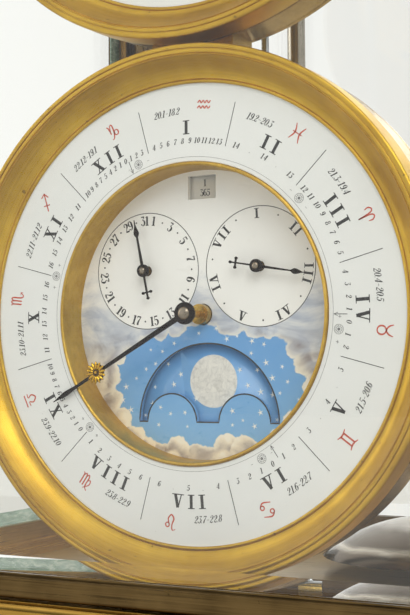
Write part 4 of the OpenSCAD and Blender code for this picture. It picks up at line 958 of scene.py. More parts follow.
BELL_STEEL = bell_metal("bell_metal")
ROD_STEEL = polished("rod_steel", rgb(176, 168, 154), 0.2)
SCREW_BLUE = polished("screw_blue", rgb(58, 66, 96), 0.22, 0.06, rgb(40, 44, 66))
HAND_STEEL = polished("hand_steel", rgb(24, 17, 14), 0.5, 0.08, rgb(36, 24, 19))
HUB_STEEL = polished("hub_steel", rgb(146, 135, 120), 0.2)
ROSETTE_GILT = polished("rosette_gilt", rgb(222, 180, 44), 0.24, 0.08, rgb(150, 108, 22))
ROSETTE_DARK = polished("rosette_dark", rgb(74, 52, 20), 0.4, 0.08)
CAL_ENAMEL = enamel_white("calendar_enamel_white", CAL)
TIME_ENAMEL = enamel_white("time_enamel_white", TIME)
# Whiter than the leap disc's own off-white: painted light against the shade of the deep window.
LEAP_ENAMEL = paint("leap_enamel", rgb(246, 244, 238), 0.3)
PAINTED_SKY = painted_sky("painted_sky", CAL)
MOON_SKY = moon_sky("moon_sky", CAL)
MOON_FACE = moon_face("moon_face", CAL)
BLACK_PAINT = paint("black_paint", rgb(30, 29, 30), 0.22)
GREY_PAINT = paint("grey_paint", rgb(112, 112, 112), 0.35)
RED_PAINT = paint("red_paint", rgb(196, 74, 48), 0.3)
STAR_PAINT = paint("star_paint", rgb(240, 240, 232), 0.2)
GLASS = glass("clear_glass", rgb(254, 255, 253))
GLASS_EDGE = glass("glass_edge", rgb(196, 222, 204), 0.04)
SIDE_EDGE = bevel_green("side_bevel")


# Studio: a pale floor, a near white backdrop and soft lamps, in metres

ROOM_LEVEL = 0.24
DIFFUSE_LEVEL = 0.64
TABLE_HALF = 2500


def add_world():
    """Backdrop that the camera, metal and glass see, brighter behind the clock, over a plain level of light."""
    world = bpy.data.worlds.new("studio")
    world.use_nodes = True
    tree = Tree(world.node_tree)
    camera, through, mirrored = tree.rays("Camera", "Transmission", "Glossy")
    seen = tree.math("MAXIMUM", camera, through)
    x, y, z = tree.parts(tree.node("ShaderNodeTexCoord", {}, {}, "Generated"))
    backdrop = tree.smooth(x * -1, -0.1, 0.75, 0.66, 0.96)
    lit = tree.smooth(x * -0.47 + y * -0.88, 0.72, 0.97, 0.0, 0.85) * -1 + 1
    room = (tree.smooth(y * -1 + x * 0.25, -0.2, 0.9, 0.0, 0.6)
            + tree.smooth(y * 0.88 - x * 0.47, 0.55, 0.97, 0.0, 0.65) + tree.smooth(z, 0.0, 0.7, 0.0, 0.45))
    level = tree.mix_number(mirrored, DIFFUSE_LEVEL, tree.clamp(room + ROOM_LEVEL) * lit)
    level = tree.mix_number(seen, level, backdrop * (through * 0.13 + 1))
    back = tree.nodes.nodes["Background"]
    tree.nodes.links.new(level.socket, back.inputs["Strength"])
    back.inputs["Color"].default_value = (1.0, 0.993, 0.982, 1)
    bpy.context.scene.world = world


def add_floor():
    """Pale table that looks nearly white to the camera and still takes the clock's shadow."""
    finish = Finish("table", {"Base Color": rgb(222, 220, 214), "Roughness": 0.7})
    camera, through, mirrored = finish.rays("Camera", "Transmission", "Glossy")
    seen = finish.math("MAXIMUM", camera, finish.math("MAXIMUM", through, mirrored))
    glow = finish.node("ShaderNodeEmission", {}, {"Color": rgb(246, 244, 238), "Strength": 0.92})
    corners = [(sx * TABLE_HALF, sy * TABLE_HALF, 0) for sx, sy in ((-1, -1), (1, -1), (1, 1), (-1, 1))]
    mesh = painted(mesh_of(corners, [[0, 1, 2, 3]]), finish.blend(seen * 0.55, finish.surface, glow))
    add_object("table", mesh)


def add_lamp(name, at, size, power, tint=(1, 1, 1)):
    """Soft lamp aimed at the clock's middle."""
    data = bpy.data.lights.new(name, "AREA")
    data.shape = "RECTANGLE"
    data.size, data.size_y = size
    data.energy = power
    data.color = tint
    way = Vector((0, 0, 0.2)) - Vector(at)
    turn = way.to_track_quat("-Z", "Y").to_matrix().to_4x4()
    add_object(name, data).matrix_world = Matrix.Translation(Vector(at)) @ turn


bpy.context.scene.view_settings.view_transform = "Standard"
add_world()
add_floor()
add_lamp("main_lamp", (0.85, -1.15, 1.35), (1.3, 1.1), 16)
add_lamp("side_lamp", (-1.5, -0.5, 0.6), (0.7, 1.1), 5, (1, 0.99, 0.97))
add_lamp("back_lamp", (0.3, 1.3, 1.1), (1.2, 0.8), 7)


# Case

FOOT_R = 13


def base_profile():
    foot = base_low.z
    top = FLOOR_Z
    return [
        *run(PLINTH_OUT, foot, (-0.8, 0), (0, 0.8), (0, 10.2)),
        *arc((PLINTH_OUT - 0.8, foot + 10.2), 0.8, 0, 90, 4),
        *run(PLINTH_OUT, foot, (-1, 11), (-1, 12.5)),
        *hollow((PLINTH_OUT - 1, foot + 12.5), (3, top - 17)),
        *run(0, top, (3.6, -16.7), (3.6, -14.8), (3.3, -14.5), (2.2, -14.5), (2.2, -2.7), (1.9, -2.4), (1, -2.4),
             (1, 0.6)),
        *bead(1.2, top + 0.8, RIM_Z - 0.4, 1.5),
        *run(0, RIM_Z, (0, -0.4), (0, 0), (-POST, 0)),
        *run(-POST, top, (0, -SKIN), (-LEDGE, -SKIN)), (-POST - LEDGE, foot)]


def crown_profile():
    low = CEILING_Z + SKIN
    top = CROWN_TOP
    return [
        (0, low), (0, low + 1), *bead(0.4, low + 1, low + 5, 1.8), (0.6, low + 5), (0.6, CEILING_Z + 14),
        *hollow((0.6, CEILING_Z + 14), (8, top - 16)),
        *run(0, top, (8.7, -16), (9, -15.7), (9, -10.4), (8.7, -10), (7, -9), (6, -9)),
        *hollow((6, top - 9), (-8, top - 2.5), True),
        *run(0, top, (-9, -2.5), (-9, -0.5), (-9.5, 0), (-HALF_D, 0), (-HALF_D, -5), (-POST, -5)), (-POST, low)]


def add_case():
    for name, profile, node in (("base_casting", base_profile(), "base_plinth"),
                                ("crown_casting", crown_profile(), "crown")):
        piece(name, painted(moulding(profile), CASE_GILT), "case", "gilt_case", node)
    height = base_low.z - foot_low.z
    profile = [(0, 0), (FOOT_R - 3.2, 0), *bead(FOOT_R - 3, 0.6, height - 1.6, 3),
               *run(FOOT_R, height, (-4, -1.6), (-4, 0), (-7.3, 0)), (FOOT_R - 7.3, foot_high.z), (0, foot_high.z)]
    feet = [lathe(profile, (sx * (HALF_W - FOOT_R), sy * (HALF_D - FOOT_R), 0), UPWARD, 64)
            for sx in (-1, 1) for sy in (-1, 1)]
    piece("turned_feet", painted(joined(feet), CASE_GILT), "case", "gilt_case", "feet")


def bar(profile, along, low, high):
    """Straight bar of a section, from low to high along x or z. The section gives the other axis and y."""
    points = [(at, y, u) if along == "x" else (u, y, at) for at in (low, high) for u, y in profile]
    return tidy(mesh_of(points, prism_faces(len(profile))), 30)


DOOR_T = 8
DOOR_RAIL = 7
DOOR_GROOVE = 3
DOOR_PLAY = 0.4
DOOR_INSET = 1
JOINT_LAP = 2.9
JOINT_GAP = 0.03
GLASS_T = 4
BEVEL = 7.5
PANE_EDGE = 1.8


def door_section(outer, inner, round_edge=False):
    """Section of a bar of a door, from its outer edge to the groove that holds the pane."""
    way = 1 if inner > outer else -1
    half = DOOR_T / 2
    gap = GLASS_T / 2 + 0.02
    edge = half if round_edge else 0.9
    turns = [math.radians(a) for a in range(0, 91, 10 if round_edge else 30)]
    outline = [(outer + way * edge * (1 - math.sin(a)), half - edge + edge * math.cos(a)) for a in turns]
    outline += [(u, -v) for u, v in reversed(outline)]
    steps = ((1.3, -half), (0.9, -half + 0.5), (0.3, -half + 0.6), (0, -half + 0.9), (0, -gap),
             (DOOR_GROOVE, -gap), (DOOR_GROOVE, gap), (0, gap), (0, half - 0.5), (0.5, half))
    return outline + [(inner - way * back, v) for back, v in steps]


def add_door(body, turn):
    """Door frame of four bars round a grooved pane, with a full round on the hinge edge and a turned knob."""
    node = body + "_frame"
    low, high = span(node)
    left = -HALF_W + POST + DOOR_PLAY
    rail_end = left + DOOR_RAIL - JOINT_LAP + JOINT_GAP
    bars = [bar(door_section(left, left + DOOR_RAIL), "z", low.z, high.z),
            bar(door_section(-left, -left - DOOR_RAIL, True), "z", low.z, high.z),
            bar(door_section(low.z, low.z + DOOR_RAIL), "x", rail_end, -rail_end),
            bar(door_section(high.z, high.z - DOOR_RAIL), "x", rail_end, -rail_end)]
    for mesh, finish in zip(bars, (STILE_BRONZE, STILE_BRONZE, RAIL_BRONZE, RAIL_BRONZE)):
        painted(mesh, finish)
    face = DOOR_T / 2 - 0.05
    knob = [*run(0, face, (0, 0), (3.3, 0), (3.4, 0.7), (3.1, 1), (1.7, 1.6), (1.6, 3.3)),
            *bead(1.6, face + 3.4, face + 8.35, 2.4), (0, face + 8.35)]
    knob_at = (left + DOOR_RAIL / 2, 0, (FLOOR_Z + CEILING_Z) / 2)
    mesh = joined(bars + [painted(lathe(knob, knob_at, FORWARD, 48), POST_GILT)])
    mesh.transform(Matrix.Translation(Vector((0, -HALF_D + DOOR_INSET + DOOR_T / 2, 0)) * MM))
    mesh.transform(Matrix.Rotation(math.radians(turn), 4, "Z"))
    piece(body + "_bars", mesh, body, "bronze_rail", node)


def add_glass(side, body, turn):
    """Bevelled pane in place of a CAD pane, greener on its bevels and edges, turned so that these face out."""
    node = side + "_glass"
    low, high = span(node)
    size = high - low
    width, height = max(size.x, size.y), size.z
    edge_finish = SIDE_EDGE if abs(turn) == 90 else GLASS_EDGE
    points = []
    for w, h, y in ((width, height, GLASS_T / 2), (width, height, PANE_EDGE - GLASS_T / 2),
                    (width - 2 * BEVEL, height - 2 * BEVEL, -GLASS_T / 2)):
        points += [(-w / 2, y, -h / 2), (w / 2, y, -h / 2), (w / 2, y, h / 2), (-w / 2, y, h / 2)]
    faces = [[0, 1, 2, 3], [8, 9, 10, 11]]
    for i in range(4):
        j = (i + 1) % 4
        faces += [[i, j, 4 + j, 4 + i], [4 + i, 4 + j, 8 + j, 8 + i]]
    mesh = painted(tidy(mesh_of(points, faces)), GLASS, edge_finish)
    for face in mesh.polygons:
        if abs(face.normal.y) < (0.999 if edge_finish is SIDE_EDGE else 0.5):
            face.material_index = 1
    mesh.transform(Matrix.Translation((low + high) / 2 * MM) @ Matrix.Rotation(math.radians(turn), 4, "Z"))
    piece(node + "_pane", mesh, body, "glass", node)


add_case()
add_door("front_door", 0)
add_door("rear_door", 180)
for side, body, turn in (("front", "front_door", 0), ("rear", "rear_door", 180), ("left", "case", -90),
                         ("right", "case", 90)):
    add_glass(side, body, turn)


# Dials

CORNERS = (45, 135, 225, 315)
CAL_SCREW_END = 12.98


def bezel_profile():
    """Section of a bezel: a fine bead at the enamel, a hollow slope, two flat bands and fine grooves."""
    lip = DIAL_R
    front = BEZEL_FRONT
    slope = BEZEL_R - 3.4
    foot = lip + 1.2
    inner = DRUM_R - DRUM_WALL - 0.6
    turns = [math.radians(a) for a in range(20, 180, 20)]
    return [
        (lip, 0.1), (lip, 0.5), *((lip + 0.5 - 0.5 * math.cos(a), 0.5 + 0.4 * math.sin(a)) for a in turns),
        (lip + 1.05, 0.5),
        *((foot + (slope - foot) * t / 20, 0.7 + (front - 0.9) * (t / 20) ** 1.7) for t in range(21)),
        *run(slope, front, (0.15, -0.4), (0.25, -0.5), (0.45, -0.5), (0.55, -0.4), (0.65, -0.05), (0.75, 0),
             (1.4, 0), (1.5, -0.05), (1.6, -0.4), (1.9, -0.4), (2, -0.05), (2.1, 0)),
        (BEZEL_R - 0.7, front), *arc((BEZEL_R - 0.7, front - 0.7), 0.7, 80, 0, 5),
        *run(BEZEL_R, -BEZEL_BACK, (0, 0.2), (-0.2, 0)),
        (inner, -BEZEL_BACK), (inner, -1.8), (lip + 1.6, -1.8), (lip + 1.6, 0.1)]


def drum_profile():
    """Section of a drum's band, with a fine turned line near each end."""
    start = -BEZEL_BACK - 0.02
    return [
        *run(DRUM_R, start, (-0.2, 0), (0, -0.2), (0, -1.6), (-0.3, -1.7), (-0.3, -2.1), (0, -2.2)),
        *run(DRUM_R, -DRUM_D, (0, 2.6), (-0.3, 2.5), (-0.3, 2.1), (0, 2), (0, 0.6), (-0.6, 0), (-DRUM_WALL, 0)),
        (DRUM_R - DRUM_WALL, start)]


def recess_profile():
    """Section of the polished ring that walls the recess."""
    r = RECESS_R
    turns = [math.radians(a) for a in range(0, 180, 15)]
    return [
        (r - 0.1, -RECESS_D + 0.02), (r, -0.7),
        *((r + 0.58 - 0.57 * math.cos(a), 0.05 + 0.62 * math.sin(a)) for a in turns),
        *run(r, -ENAMEL_T, (RECESS_BEAD, -0.02), (5, -0.02), (5, -1.5), (2.2, -1.5)),
        *run(r, -RECESS_D - ENAMEL_T, (2.2, -0.4), (1.1, -0.4)), (r + 1.1, -RECESS_D + 0.02)]


def enamel_profile():
    outer = DIAL_R + ENAMEL_LAP
    inner = RECESS_R + RECESS_BEAD + 0.05
    return [(inner + 0.15, 0), (outer - 0.15, 0), (outer, -0.15), (outer, -ENAMEL_T), (inner, -ENAMEL_T),
            (inner, -0.15)]


def add_dials():
    for name, dial, finish, enamel in (("calendar", CAL, CAL_BEZEL, CAL_ENAMEL),
                                       ("time", TIME, TIME_BEZEL, TIME_ENAMEL)):
        bezel = painted(lathe(bezel_profile(), dial), finish)
        piece(name + "_bezel_turned", bezel, "case", "gilt_dial", name + "_bezel")
        ring = painted(lathe(enamel_profile(), dial), enamel)
        piece(name + "_enamel_ring", ring, "case", "enamel", name + "_enamel")


def add_drums():
    """Bands of the drums. The time dial's drum has a back too, which carries the movement."""
    hole = half_width("front_plate") - 4
    wall = DRUM_R - DRUM_WALL - 0.02
    back = [(hole, -DRUM_D), (wall, -DRUM_D), (wall, 1.5 - DRUM_D), (hole, 1.5 - DRUM_D)]
    time_drum = joined([lathe(drum_profile(), TIME), lathe(back, TIME)])
    for name, mesh in (("calendar", lathe(drum_profile(), CAL)), ("time", time_drum)):
        piece(name + "_drum_band", painted(mesh, DRUM_GILT), "case", "gilt_dial", name + "_drum")


def add_recess_rings():
    """Polished rings, and the screws behind the dials that hold them."""
    rings = []
    screws = ((DIAL_R - 6, 1.8, -ENAMEL_T - 0.04, 24), (RECESS_R + 2.1, 0.9, -RECESS_D - ENAMEL_T + 4, 16))
    for dial, end in ((CAL, CAL_SCREW_END), (TIME, DRUM_D - ENAMEL_T - 0.02)):
        rings.append(lathe(recess_profile(), dial))
        for a in CORNERS:
            for out, radius, near, sides in screws:
                screw = [(0, near), (radius, near), (radius, -end), (0, -end)]
                rings.append(lathe(screw, on_dial(dial, *polar(out, a), 0), FORWARD, sides))
    piece("recess_ring_walls", painted(joined(rings), RECESS_GILT), "case", "gilt_dial", "recess_rings")


add_dials()
add_drums()
add_recess_rings()


# Lettering of the calendar ring: months, their signs, the dates between which each sign runs, and the
# minutes by which the sun is fast or slow

MONTH_STEP = 30
SIGN_DATES = (("aquarius", "20.1-18.2"), ("pisces", "19.2-20.3"), ("aries", "21.3-19.4"), ("taurus", "20.4-20.5"),
              ("gemini", "21.5-20.6"), ("cancer", "21.6-22.7"), ("leo", "23.7-22.8"), ("virgo", "23.8-22.9"),
              ("libra", "23.9-22.10"), ("scorpio", "23.10-21.11"), ("sagittarius", "22.11-21.12"),
              ("capricorn", "22.12-19.1"))
SUN_MINUTES = (range(4, 14), (14, ".", 14, ".", 13), range(12, 4, -1), (4, 3, 2, 1, 0, 1, 2), (3, ".", 4, ".", 3),
               (2, 1, 0, 1, 2, 3), (4, ".", 5, ".", 6), range(6, 0, -1), range(0, 11), range(11, 17),
               range(16, 10, -1), (10, 9, 8, 7, 5, 4, 2, 1, 0, 1, 2, 3))
SUN_MARKS = ((48.8, "-"), (96.5, "+"), (150.3, "-"), (225.3, "+"), (285.3, "+"), (340, "-"))
SUN_ARROWS = (91.5, 145, 336.8)
SUN_LINE_R = 44.1
SUN_MARK_R = 45.9
SUN_NUMERAL_R = 48.7
MONTH_R = 52.5
MONTH_H = 3.95
SIGN_R = 58.8
SIGN_H = 4.8
DATES_R = 57.4
RING_EDGE_R = 60.2


def reads_inward(degrees):
    """Whether lettering at this place of a dial has its tops towards the middle."""
    return 95 < degrees % 360 < 265


def add_month_ring():
    black = Drawing(CAL)
    for k, text in enumerate(ROMAN):
        at = k * MONTH_STEP
        black.write(BOLD, text, MONTH_R, at, MONTH_H, reads_inward(at), 0.34)
    for k in range(12):
        black.ray((k + 0.5) * MONTH_STEP, SUN_NUMERAL_R - 1, RING_EDGE_R, 0.2)
    for at in SUN_ARROWS:
        black.ray(at, SUN_NUMERAL_R - 0.6, SUN_LINE_R + 0.2, 0.18)
        head = ((SUN_LINE_R + 1.3, -0.6, 0.14), (SUN_LINE_R + 0.2, 0, 0.22), (SUN_LINE_R + 1.3, 0.6, 0.14))
        black.stroke([(*polar(r, at + aside), width) for r, aside, width in head])
    black.add("month_numerals", BLACK_PAINT)
    lines = Drawing(CAL)
    lines.circle(0, 0, SUN_LINE_R, 0.09, 180)
    for at, mark in SUN_MARKS:
        x, z = polar(SUN_MARK_R, at)
        lines.spot(x, z, 0.42, 16)
        lines.circle(x, z, 1.3, 0.12, 32)
        for beam in range(0, 360, 30):
            lines.ray(beam, 0.65, 1.15, 0.22, 0.08, (x, z))
        for side in (-4.2, 4.2):
            lines.write(DIGITS, mark, SUN_MARK_R, at + side, 1.9, reads_inward(at))
    lines.add("calendar_lines", GREY_PAINT)


def add_sun_minutes():
    fine = Drawing(CAL, 0, 3)
    for k, numbers in enumerate(SUN_MINUTES):
        for i, number in enumerate(numbers):
            at = k * MONTH_STEP + MONTH_STEP * 0.92 * ((i + 0.5) / len(numbers) - 0.5)
            fine.write(DIGITS, str(number), SUN_NUMERAL_R, at, 1.6, reads_inward(k * MONTH_STEP), 0.2, 0.2, 1.25)
    fine.add("sun_minutes", BLACK_PAINT)


def add_signs():
    red = Drawing(CAL)
    dates = Drawing(CAL, 0, 3)
    for k, (sign, text) in enumerate(SIGN_DATES):
        at = k * MONTH_STEP
        x, z = polar(SIGN_R, at + 5.6)
        red.sign(SIGNS[sign], x, z, SIGN_H, at + 5.6 + (180 if reads_inward(at) else 0))
        dates.write(DIGITS, text, DATES_R, at - 6.2, 2.0, reads_inward(at), 0.17, 0.3, 1.1, 0.95)
    red.add("zodiac_signs", RED_PAINT)
    dates.add("sign_dates", BLACK_PAINT)


# Lettering of the recessed centre

moon_low, moon_high = span("moon_disc")
MOON = ((moon_low.x + moon_high.x) / 2, -30.8)
MOON_OPEN_R = 22.5
MOON_PATH = 11.7
HUMP_R = 8.1
DISC_DEPTH = 11
DISC_PAINT = 0.85
LEAP_Z = 22
WINDOW_Z = 36.6
DATES = 31
DATE_RING_R = 14.8
DATE_TURN = 2.8
DAYS = 7
DAY_RING_R = 15
DAY_DOT_R = 15.2
DAY_TURN = 3.3
DOT_R = 0.26
MOON_R = 7.6
MOON_TURN = 4.5


def add_sub_dials():
    """Dates with a dot for each even one on the left, and days with dots between them on the right."""
    lines = Drawing(CAL, -RECESS_D)
    numerals = Drawing(CAL, -RECESS_D, 4)
    for side in (-1, 1):
        lines.circle(side * SUB_X, SUB_Z, SUB_R, 0.22)
    for day in range(1, DATES + 1):
        at = day * 360 / DATES - DATE_TURN
        if day % 2:
            numerals.write(DIGITS, str(day), DATE_RING_R, at, 2.75, reads_inward(at), 0.13, 0, 1.4,
                           about=(-SUB_X, SUB_Z))
        else:
            x, z = polar(DATE_RING_R, at)
            lines.spot(-SUB_X + x, SUB_Z + z, DOT_R)
    for day in range(DAYS):
        at = day * 360 / DAYS - DAY_TURN
        numerals.write(BOLD, ROMAN[day], DAY_RING_R, at, 2.8, reads_inward(at), 0.22, about=(SUB_X, SUB_Z))
        x, z = polar(DAY_DOT_R, at + 180 / DAYS)
        lines.spot(SUB_X + x, SUB_Z + z, DOT_R)
    lines.add("sub_dial_lines", BLACK_PAINT)
    numerals.add("sub_dial_numerals", BLACK_PAINT)


def add_moon_outline():
    outline = arc(MOON, MOON_OPEN_R, 180, 0, 60)
    for side in (1, -1):
        outline += arc((MOON[0] + side * MOON_PATH, MOON[1]), HUMP_R, 0, 180, 26)
    lines = Drawing(CAL, -RECESS_D)
    lines.stroke([(x, z, 0.42) for x, z in outline], True)
    lines.add("moon_opening_outline", BLACK_PAINT)


def add_leap_years():
    """Number of the year and its days, for each of the four years that pass in the window."""
    numerals = Drawing(CAL, -DISC_DEPTH, 4)
    lift = WINDOW_Z - LEAP_Z
    for k, days in enumerate(("365", "365", "365", "366")):
        for text, shift in ((str(k + 1), 1.5), (days, -1.3)):
            numerals.write(DIGITS, text, lift + shift, 90 * k, 2.0, weight=1.2, about=(0, LEAP_Z))
    numerals.add("leap_year_numbers", BLACK_PAINT, "leap")


def add_moons():
    """Two painted moons opposite each other, one of them just past the top of the opening."""
    rim = [(0, 0), (MOON_R, 0), (MOON_R, 0.03), (MOON_R - 0.15, 0.06), (0, 0.06)]
    faces = []
    for degrees in (MOON_TURN, MOON_TURN + 180):
        x, z = polar(MOON_PATH, degrees)
        faces.append(lathe(rim, on_dial(CAL, x + MOON[0], z + MOON[1], -DISC_DEPTH), FORWARD, 96))
    piece("moon_faces", painted(joined(faces), MOON_FACE), "moon", "moon_paint")


def add_stars():
    """Stars on the painted sky round the opening, on the two humps and on the disc that carries the moons."""
    recipe = Recipe("scattered_stars", {"Field": "Object", "Star": "Object", "Density": "Float", "Apart": "Float",
                                        "Seed": "Int", "Small": "Float", "Large": "Float", "Finish": "Material"})
    points = recipe.node("GeometryNodeDistributePointsOnFaces", {"distribute_method": "POISSON"}, {
        "Mesh": recipe.shape("Field"), "Distance Min": recipe.take("Apart"),
        "Density Max": recipe.take("Density"), "Seed": recipe.take("Seed")})
    size = recipe.chance(recipe.take("Small"), recipe.take("Large"))
    recipe.finish(points, recipe.shape("Star"), size, 1.2)
    band = arc(MOON, MOON_OPEN_R + 1.2, 4, 176, 40) + [(x, z * 0.86 - 2.4) for x, z in arc(MOON, 29.5, 176, 4, 40)]
    humps = [arc((MOON[0] + side * MOON_PATH, MOON[1] - 1.5), HUMP_R - 1.3, 0, 180, 24) for side in (-1, 1)]
    halves = [arc(MOON, MOON_OPEN_R - 0.5, a, a + 115, 30) + arc(MOON, 5, a + 115, a, 10) for a in (-57, 123)]
    for name, body, outlines, depth, seed, large in (
            ("sky_stars", "case", [band] + humps, RECESS_D, 7, 2.3),
            ("disc_stars", "moon", halves, DISC_DEPTH, 3, 2.2)):
        field = joined([mesh_of([on_dial(CAL, x, z, -depth) for x, z in outline], [list(range(len(outline)))])
                        for outline in outlines])
        star = [polar(0.5 if i % 2 == 0 else 0.13, 36 * i) for i in range(10)]
        mesh = recipe.make({"Field": field, "Star": plate(star, Vector((0, 0, 0)), 0, PAINT_T), "Density": 1.8e5,
                            "Apart": 0.0033, "Seed": seed, "Small": 1.2, "Large": large, "Finish": STAR_PAINT})
        piece(name, mesh, body, "moon_paint")


def two_finishes(name, node, body, slot, front):
    """Copy of a CAD disc that is painted in front and bare metal behind."""
    mesh = painted(NODES[node].data.copy(), front, CAL_WORKS)
    split = (ENAMEL_Y + DISC_DEPTH + DISC_PAINT) * MM
    for face in mesh.polygons:
        face.material_index = 0 if face.center.y < split else 1
    piece(name, tidy(mesh, 30), body, slot, node)


add_month_ring()
add_sun_minutes()
add_signs()
add_sub_dials()
add_moon_outline()
add_leap_years()
add_moons()
add_stars()
two_finishes("moon_disc_painted", "moon_disc", "moon", "moon_paint", MOON_SKY)
two_finishes("leap_disc_enamelled", "leap_disc", "leap", "enamel", LEAP_ENAMEL)


# Lettering of the time ring: hours, a minute track and the minutes in fives

HOUR_R = 51.2
HOUR_H = 9.4
TRACK_R = (57.6, 59.6)
MINUTE_R = 61.9
MINUTE_H = 2.4


def add_hour_ring():
    hours = Drawing(TIME)
    for k, text in enumerate(ROMAN[-1:] + ROMAN[:-1]):
        hours.write(HOURS, text, HOUR_R, 30 * k, HOUR_H, gap=0.07, wide=0.9)
    hours.add("hour_numerals", BLACK_PAINT)
    track = Drawing(TIME, 0, 4)
    for radius in TRACK_R:
        track.circle(0, 0, radius, 0.18, 180)
    for minute in range(60):
        long = minute % 5 == 0
        track.ray(6 * minute, *TRACK_R, 0.7 if long else 0.22)
        if long:
            track.write(DIGITS, str(minute or 60), MINUTE_R, 6 * minute, MINUTE_H, gap=0.14)
    track.add("minute_track", BLACK_PAINT)


add_hour_ring()


# Hands

HAND_T = 0.6
YEAR_FRONT = 1.2
SUB_FRONT = -RECESS_D + 0.02 + 2.2
YEAR_ANGLE = 240.5
DATE_ANGLE = 348.6
DAY_ANGLE = 99.6


def blade(length, root, neck, tip, point):
    """Outline of a slim blade: half widths at the root, the neck and the swelling near the tip."""
    right = [(root, 0), (neck, length - point * 2.6)] + flowing([
        (neck * 1.1, length - point * 2.2), (tip, length - point * 1.35), (tip * 0.92, length - point),
        (tip * 0.35, length - point * 0.4), (0.05, length)], False, 4)
    return [(-x, z) for x, z in right] + [(x, z) for x, z in reversed(right)]


def turned_outline(outline, degrees, about=(0, 0)):
    a = math.radians(degrees)
    return [(about[0] + x * math.cos(a) + z * math.sin(a), about[1] - x * math.sin(a) + z * math.cos(a))
            for x, z in outline]


def boss(at, radius, near, far, edge, finish):
    """Round boss with a rounded front edge, between two distances forward."""
    profile = [(0, near), (radius, near)] + arc((radius - edge, far - edge), edge, 0, 90, 5) + [(0, far)]
    return painted(lathe(profile, on_dial(CAL, *at, 0), FORWARD, 48), finish)


def cap(at, radius, low, high, finish):
    """Domed steel end of an arbor."""
    turns = [math.radians(a) for a in range(0, 90, 10)]
    profile = [(0, low), *((radius * math.cos(a), low + high * math.sin(a)) for a in turns), (0, low + high)]
    return painted(lathe(profile, on_dial(CAL, *at, 0), FORWARD, 48), finish)


def rosette(at, radius, near, petals=14):
    """Gilt flower: round petals laid on a dark disc, about a domed middle in a dark ring."""
    parts = [cap(at, radius * 0.82, near, 0.3, ROSETTE_DARK)]
    middle = on_dial(CAL, *at, near + 0.3)
    profile = [(0, radius * 0.26)]
    profile += [(radius * 0.135 * math.sin(math.pi * t) ** 0.6, radius * (0.26 + 0.74 * t))
                for t in (0.06, 0.2, 0.4, 0.6, 0.75, 0.88, 0.97)]
    profile += [(0, radius)]
    for i in range(petals):
        turn = Matrix.Rotation(2 * math.pi * i / petals, 3, "Y")
        parts.append(painted(lathe(profile, middle, turn, 10), ROSETTE_GILT))
    return joined(parts + [cap(at, 0.85, near + 0.2, 0.25, ROSETTE_DARK),
                           cap(at, 0.5, near + 0.35, 0.5, ROSETTE_GILT)])


def year_hand():
    near = YEAR_FRONT
    far = near + HAND_T
    outline = turned_outline([(-0.5, -0.2)] + blade(51, 0.8, 0.4, 0.7, 4) + [(0.5, -0.2)], YEAR_ANGLE)
    return joined([painted(plate(outline, CAL, near, far, 0.1), HAND_STEEL),
                   boss((0, 0), 3.15, near - 0.02, far + 0.35, 0.3, HAND_STEEL),
                   cap((0, 0), 1.85, far + 0.3, 0.95, HUB_STEEL),
                   rosette(polar(33.5, YEAR_ANGLE), 3.3, far)])


def sub_hand(at, degrees, length, tail=8.2):
    """Small hand with a leaf short of its needle point and a cross on its tail."""
    near = SUB_FRONT
    far = near + HAND_T
    side = [(0.42, 0), (0.2, length - 5.4)] + flowing([
        (0.22, length - 5.2), (0.78, length - 4.2), (0.62, length - 3.2), (0.14, length - 1.7),
        (0.04, length)], False, 4)
    front = [(-x, z) for x, z in side] + [(x, z) for x, z in reversed(side)]
    back = [(-0.26, 0), (-0.2, -tail), (0.2, -tail), (0.26, 0)]
    arms = [(-1.3, -tail + 1.5), (-1.3, -tail + 1.9), (1.3, -tail + 1.9), (1.3, -tail + 1.5)]
    parts = [painted(plate(turned_outline(outline, degrees, at), CAL, near, far, 0.06), HAND_STEEL)
             for outline in (front, back, arms)]
    for knob in turned_outline([(-1.3, -tail + 1.7), (1.3, -tail + 1.7), (0, -tail)], degrees, at):
        parts.append(boss(knob, 0.42, near + 0.02, far - 0.04, 0.12, HAND_STEEL))
    parts += [boss(at, 1.85, near - 0.02, far + 0.3, 0.25, HAND_STEEL), cap(at, 1.07, far + 0.25, 0.7, HUB_STEEL)]
    return joined(parts)


for body, mesh in (("year", year_hand()), ("date", sub_hand((-SUB_X, SUB_Z), DATE_ANGLE, 15.2)),
                   ("day", sub_hand((SUB_X, SUB_Z), DAY_ANGLE, 16))):
    piece(body + "_pointer", mesh, body, "hand_steel", body + "_hand")


# Bell, bob and rating nut

BELL_WALL = 1.6
BELL_HOLE = 2.1
BOB_HOLLOW = 1.6
BOB_RIM = 2.2
NUT_BORE = 1.7
NUT_FLUTES = 36


def add_bell():
    """Dome of bell metal with a turned rim and a thread hole at its crown."""
    low, high = span("bell")
    radius = half_width("bell")
    height = high.z - low.z
    sphere = (radius ** 2 + height ** 2) / (2 * height)
    widest = math.asin(radius / sphere)
    turns = [widest * i / 40 for i in range(40, -1, -1)]
    outer = [(sphere * math.sin(a), height - sphere + sphere * math.cos(a)) for a in turns]
    inner = [(r * (sphere - BELL_WALL) / sphere, max(h - BELL_WALL, 0.3)) for r, h in outer[::-1]]
    profile = [(r, max(h, 0.0)) for r, h in outer + inner if r > BELL_HOLE]
    middle = middle_of("bell")
    mesh = lathe(profile, (middle.x, middle.y, low.z), UPWARD, 128)
    piece("bell_dome", painted(mesh, BELL_STEEL), "case", "bell_steel", "bell")


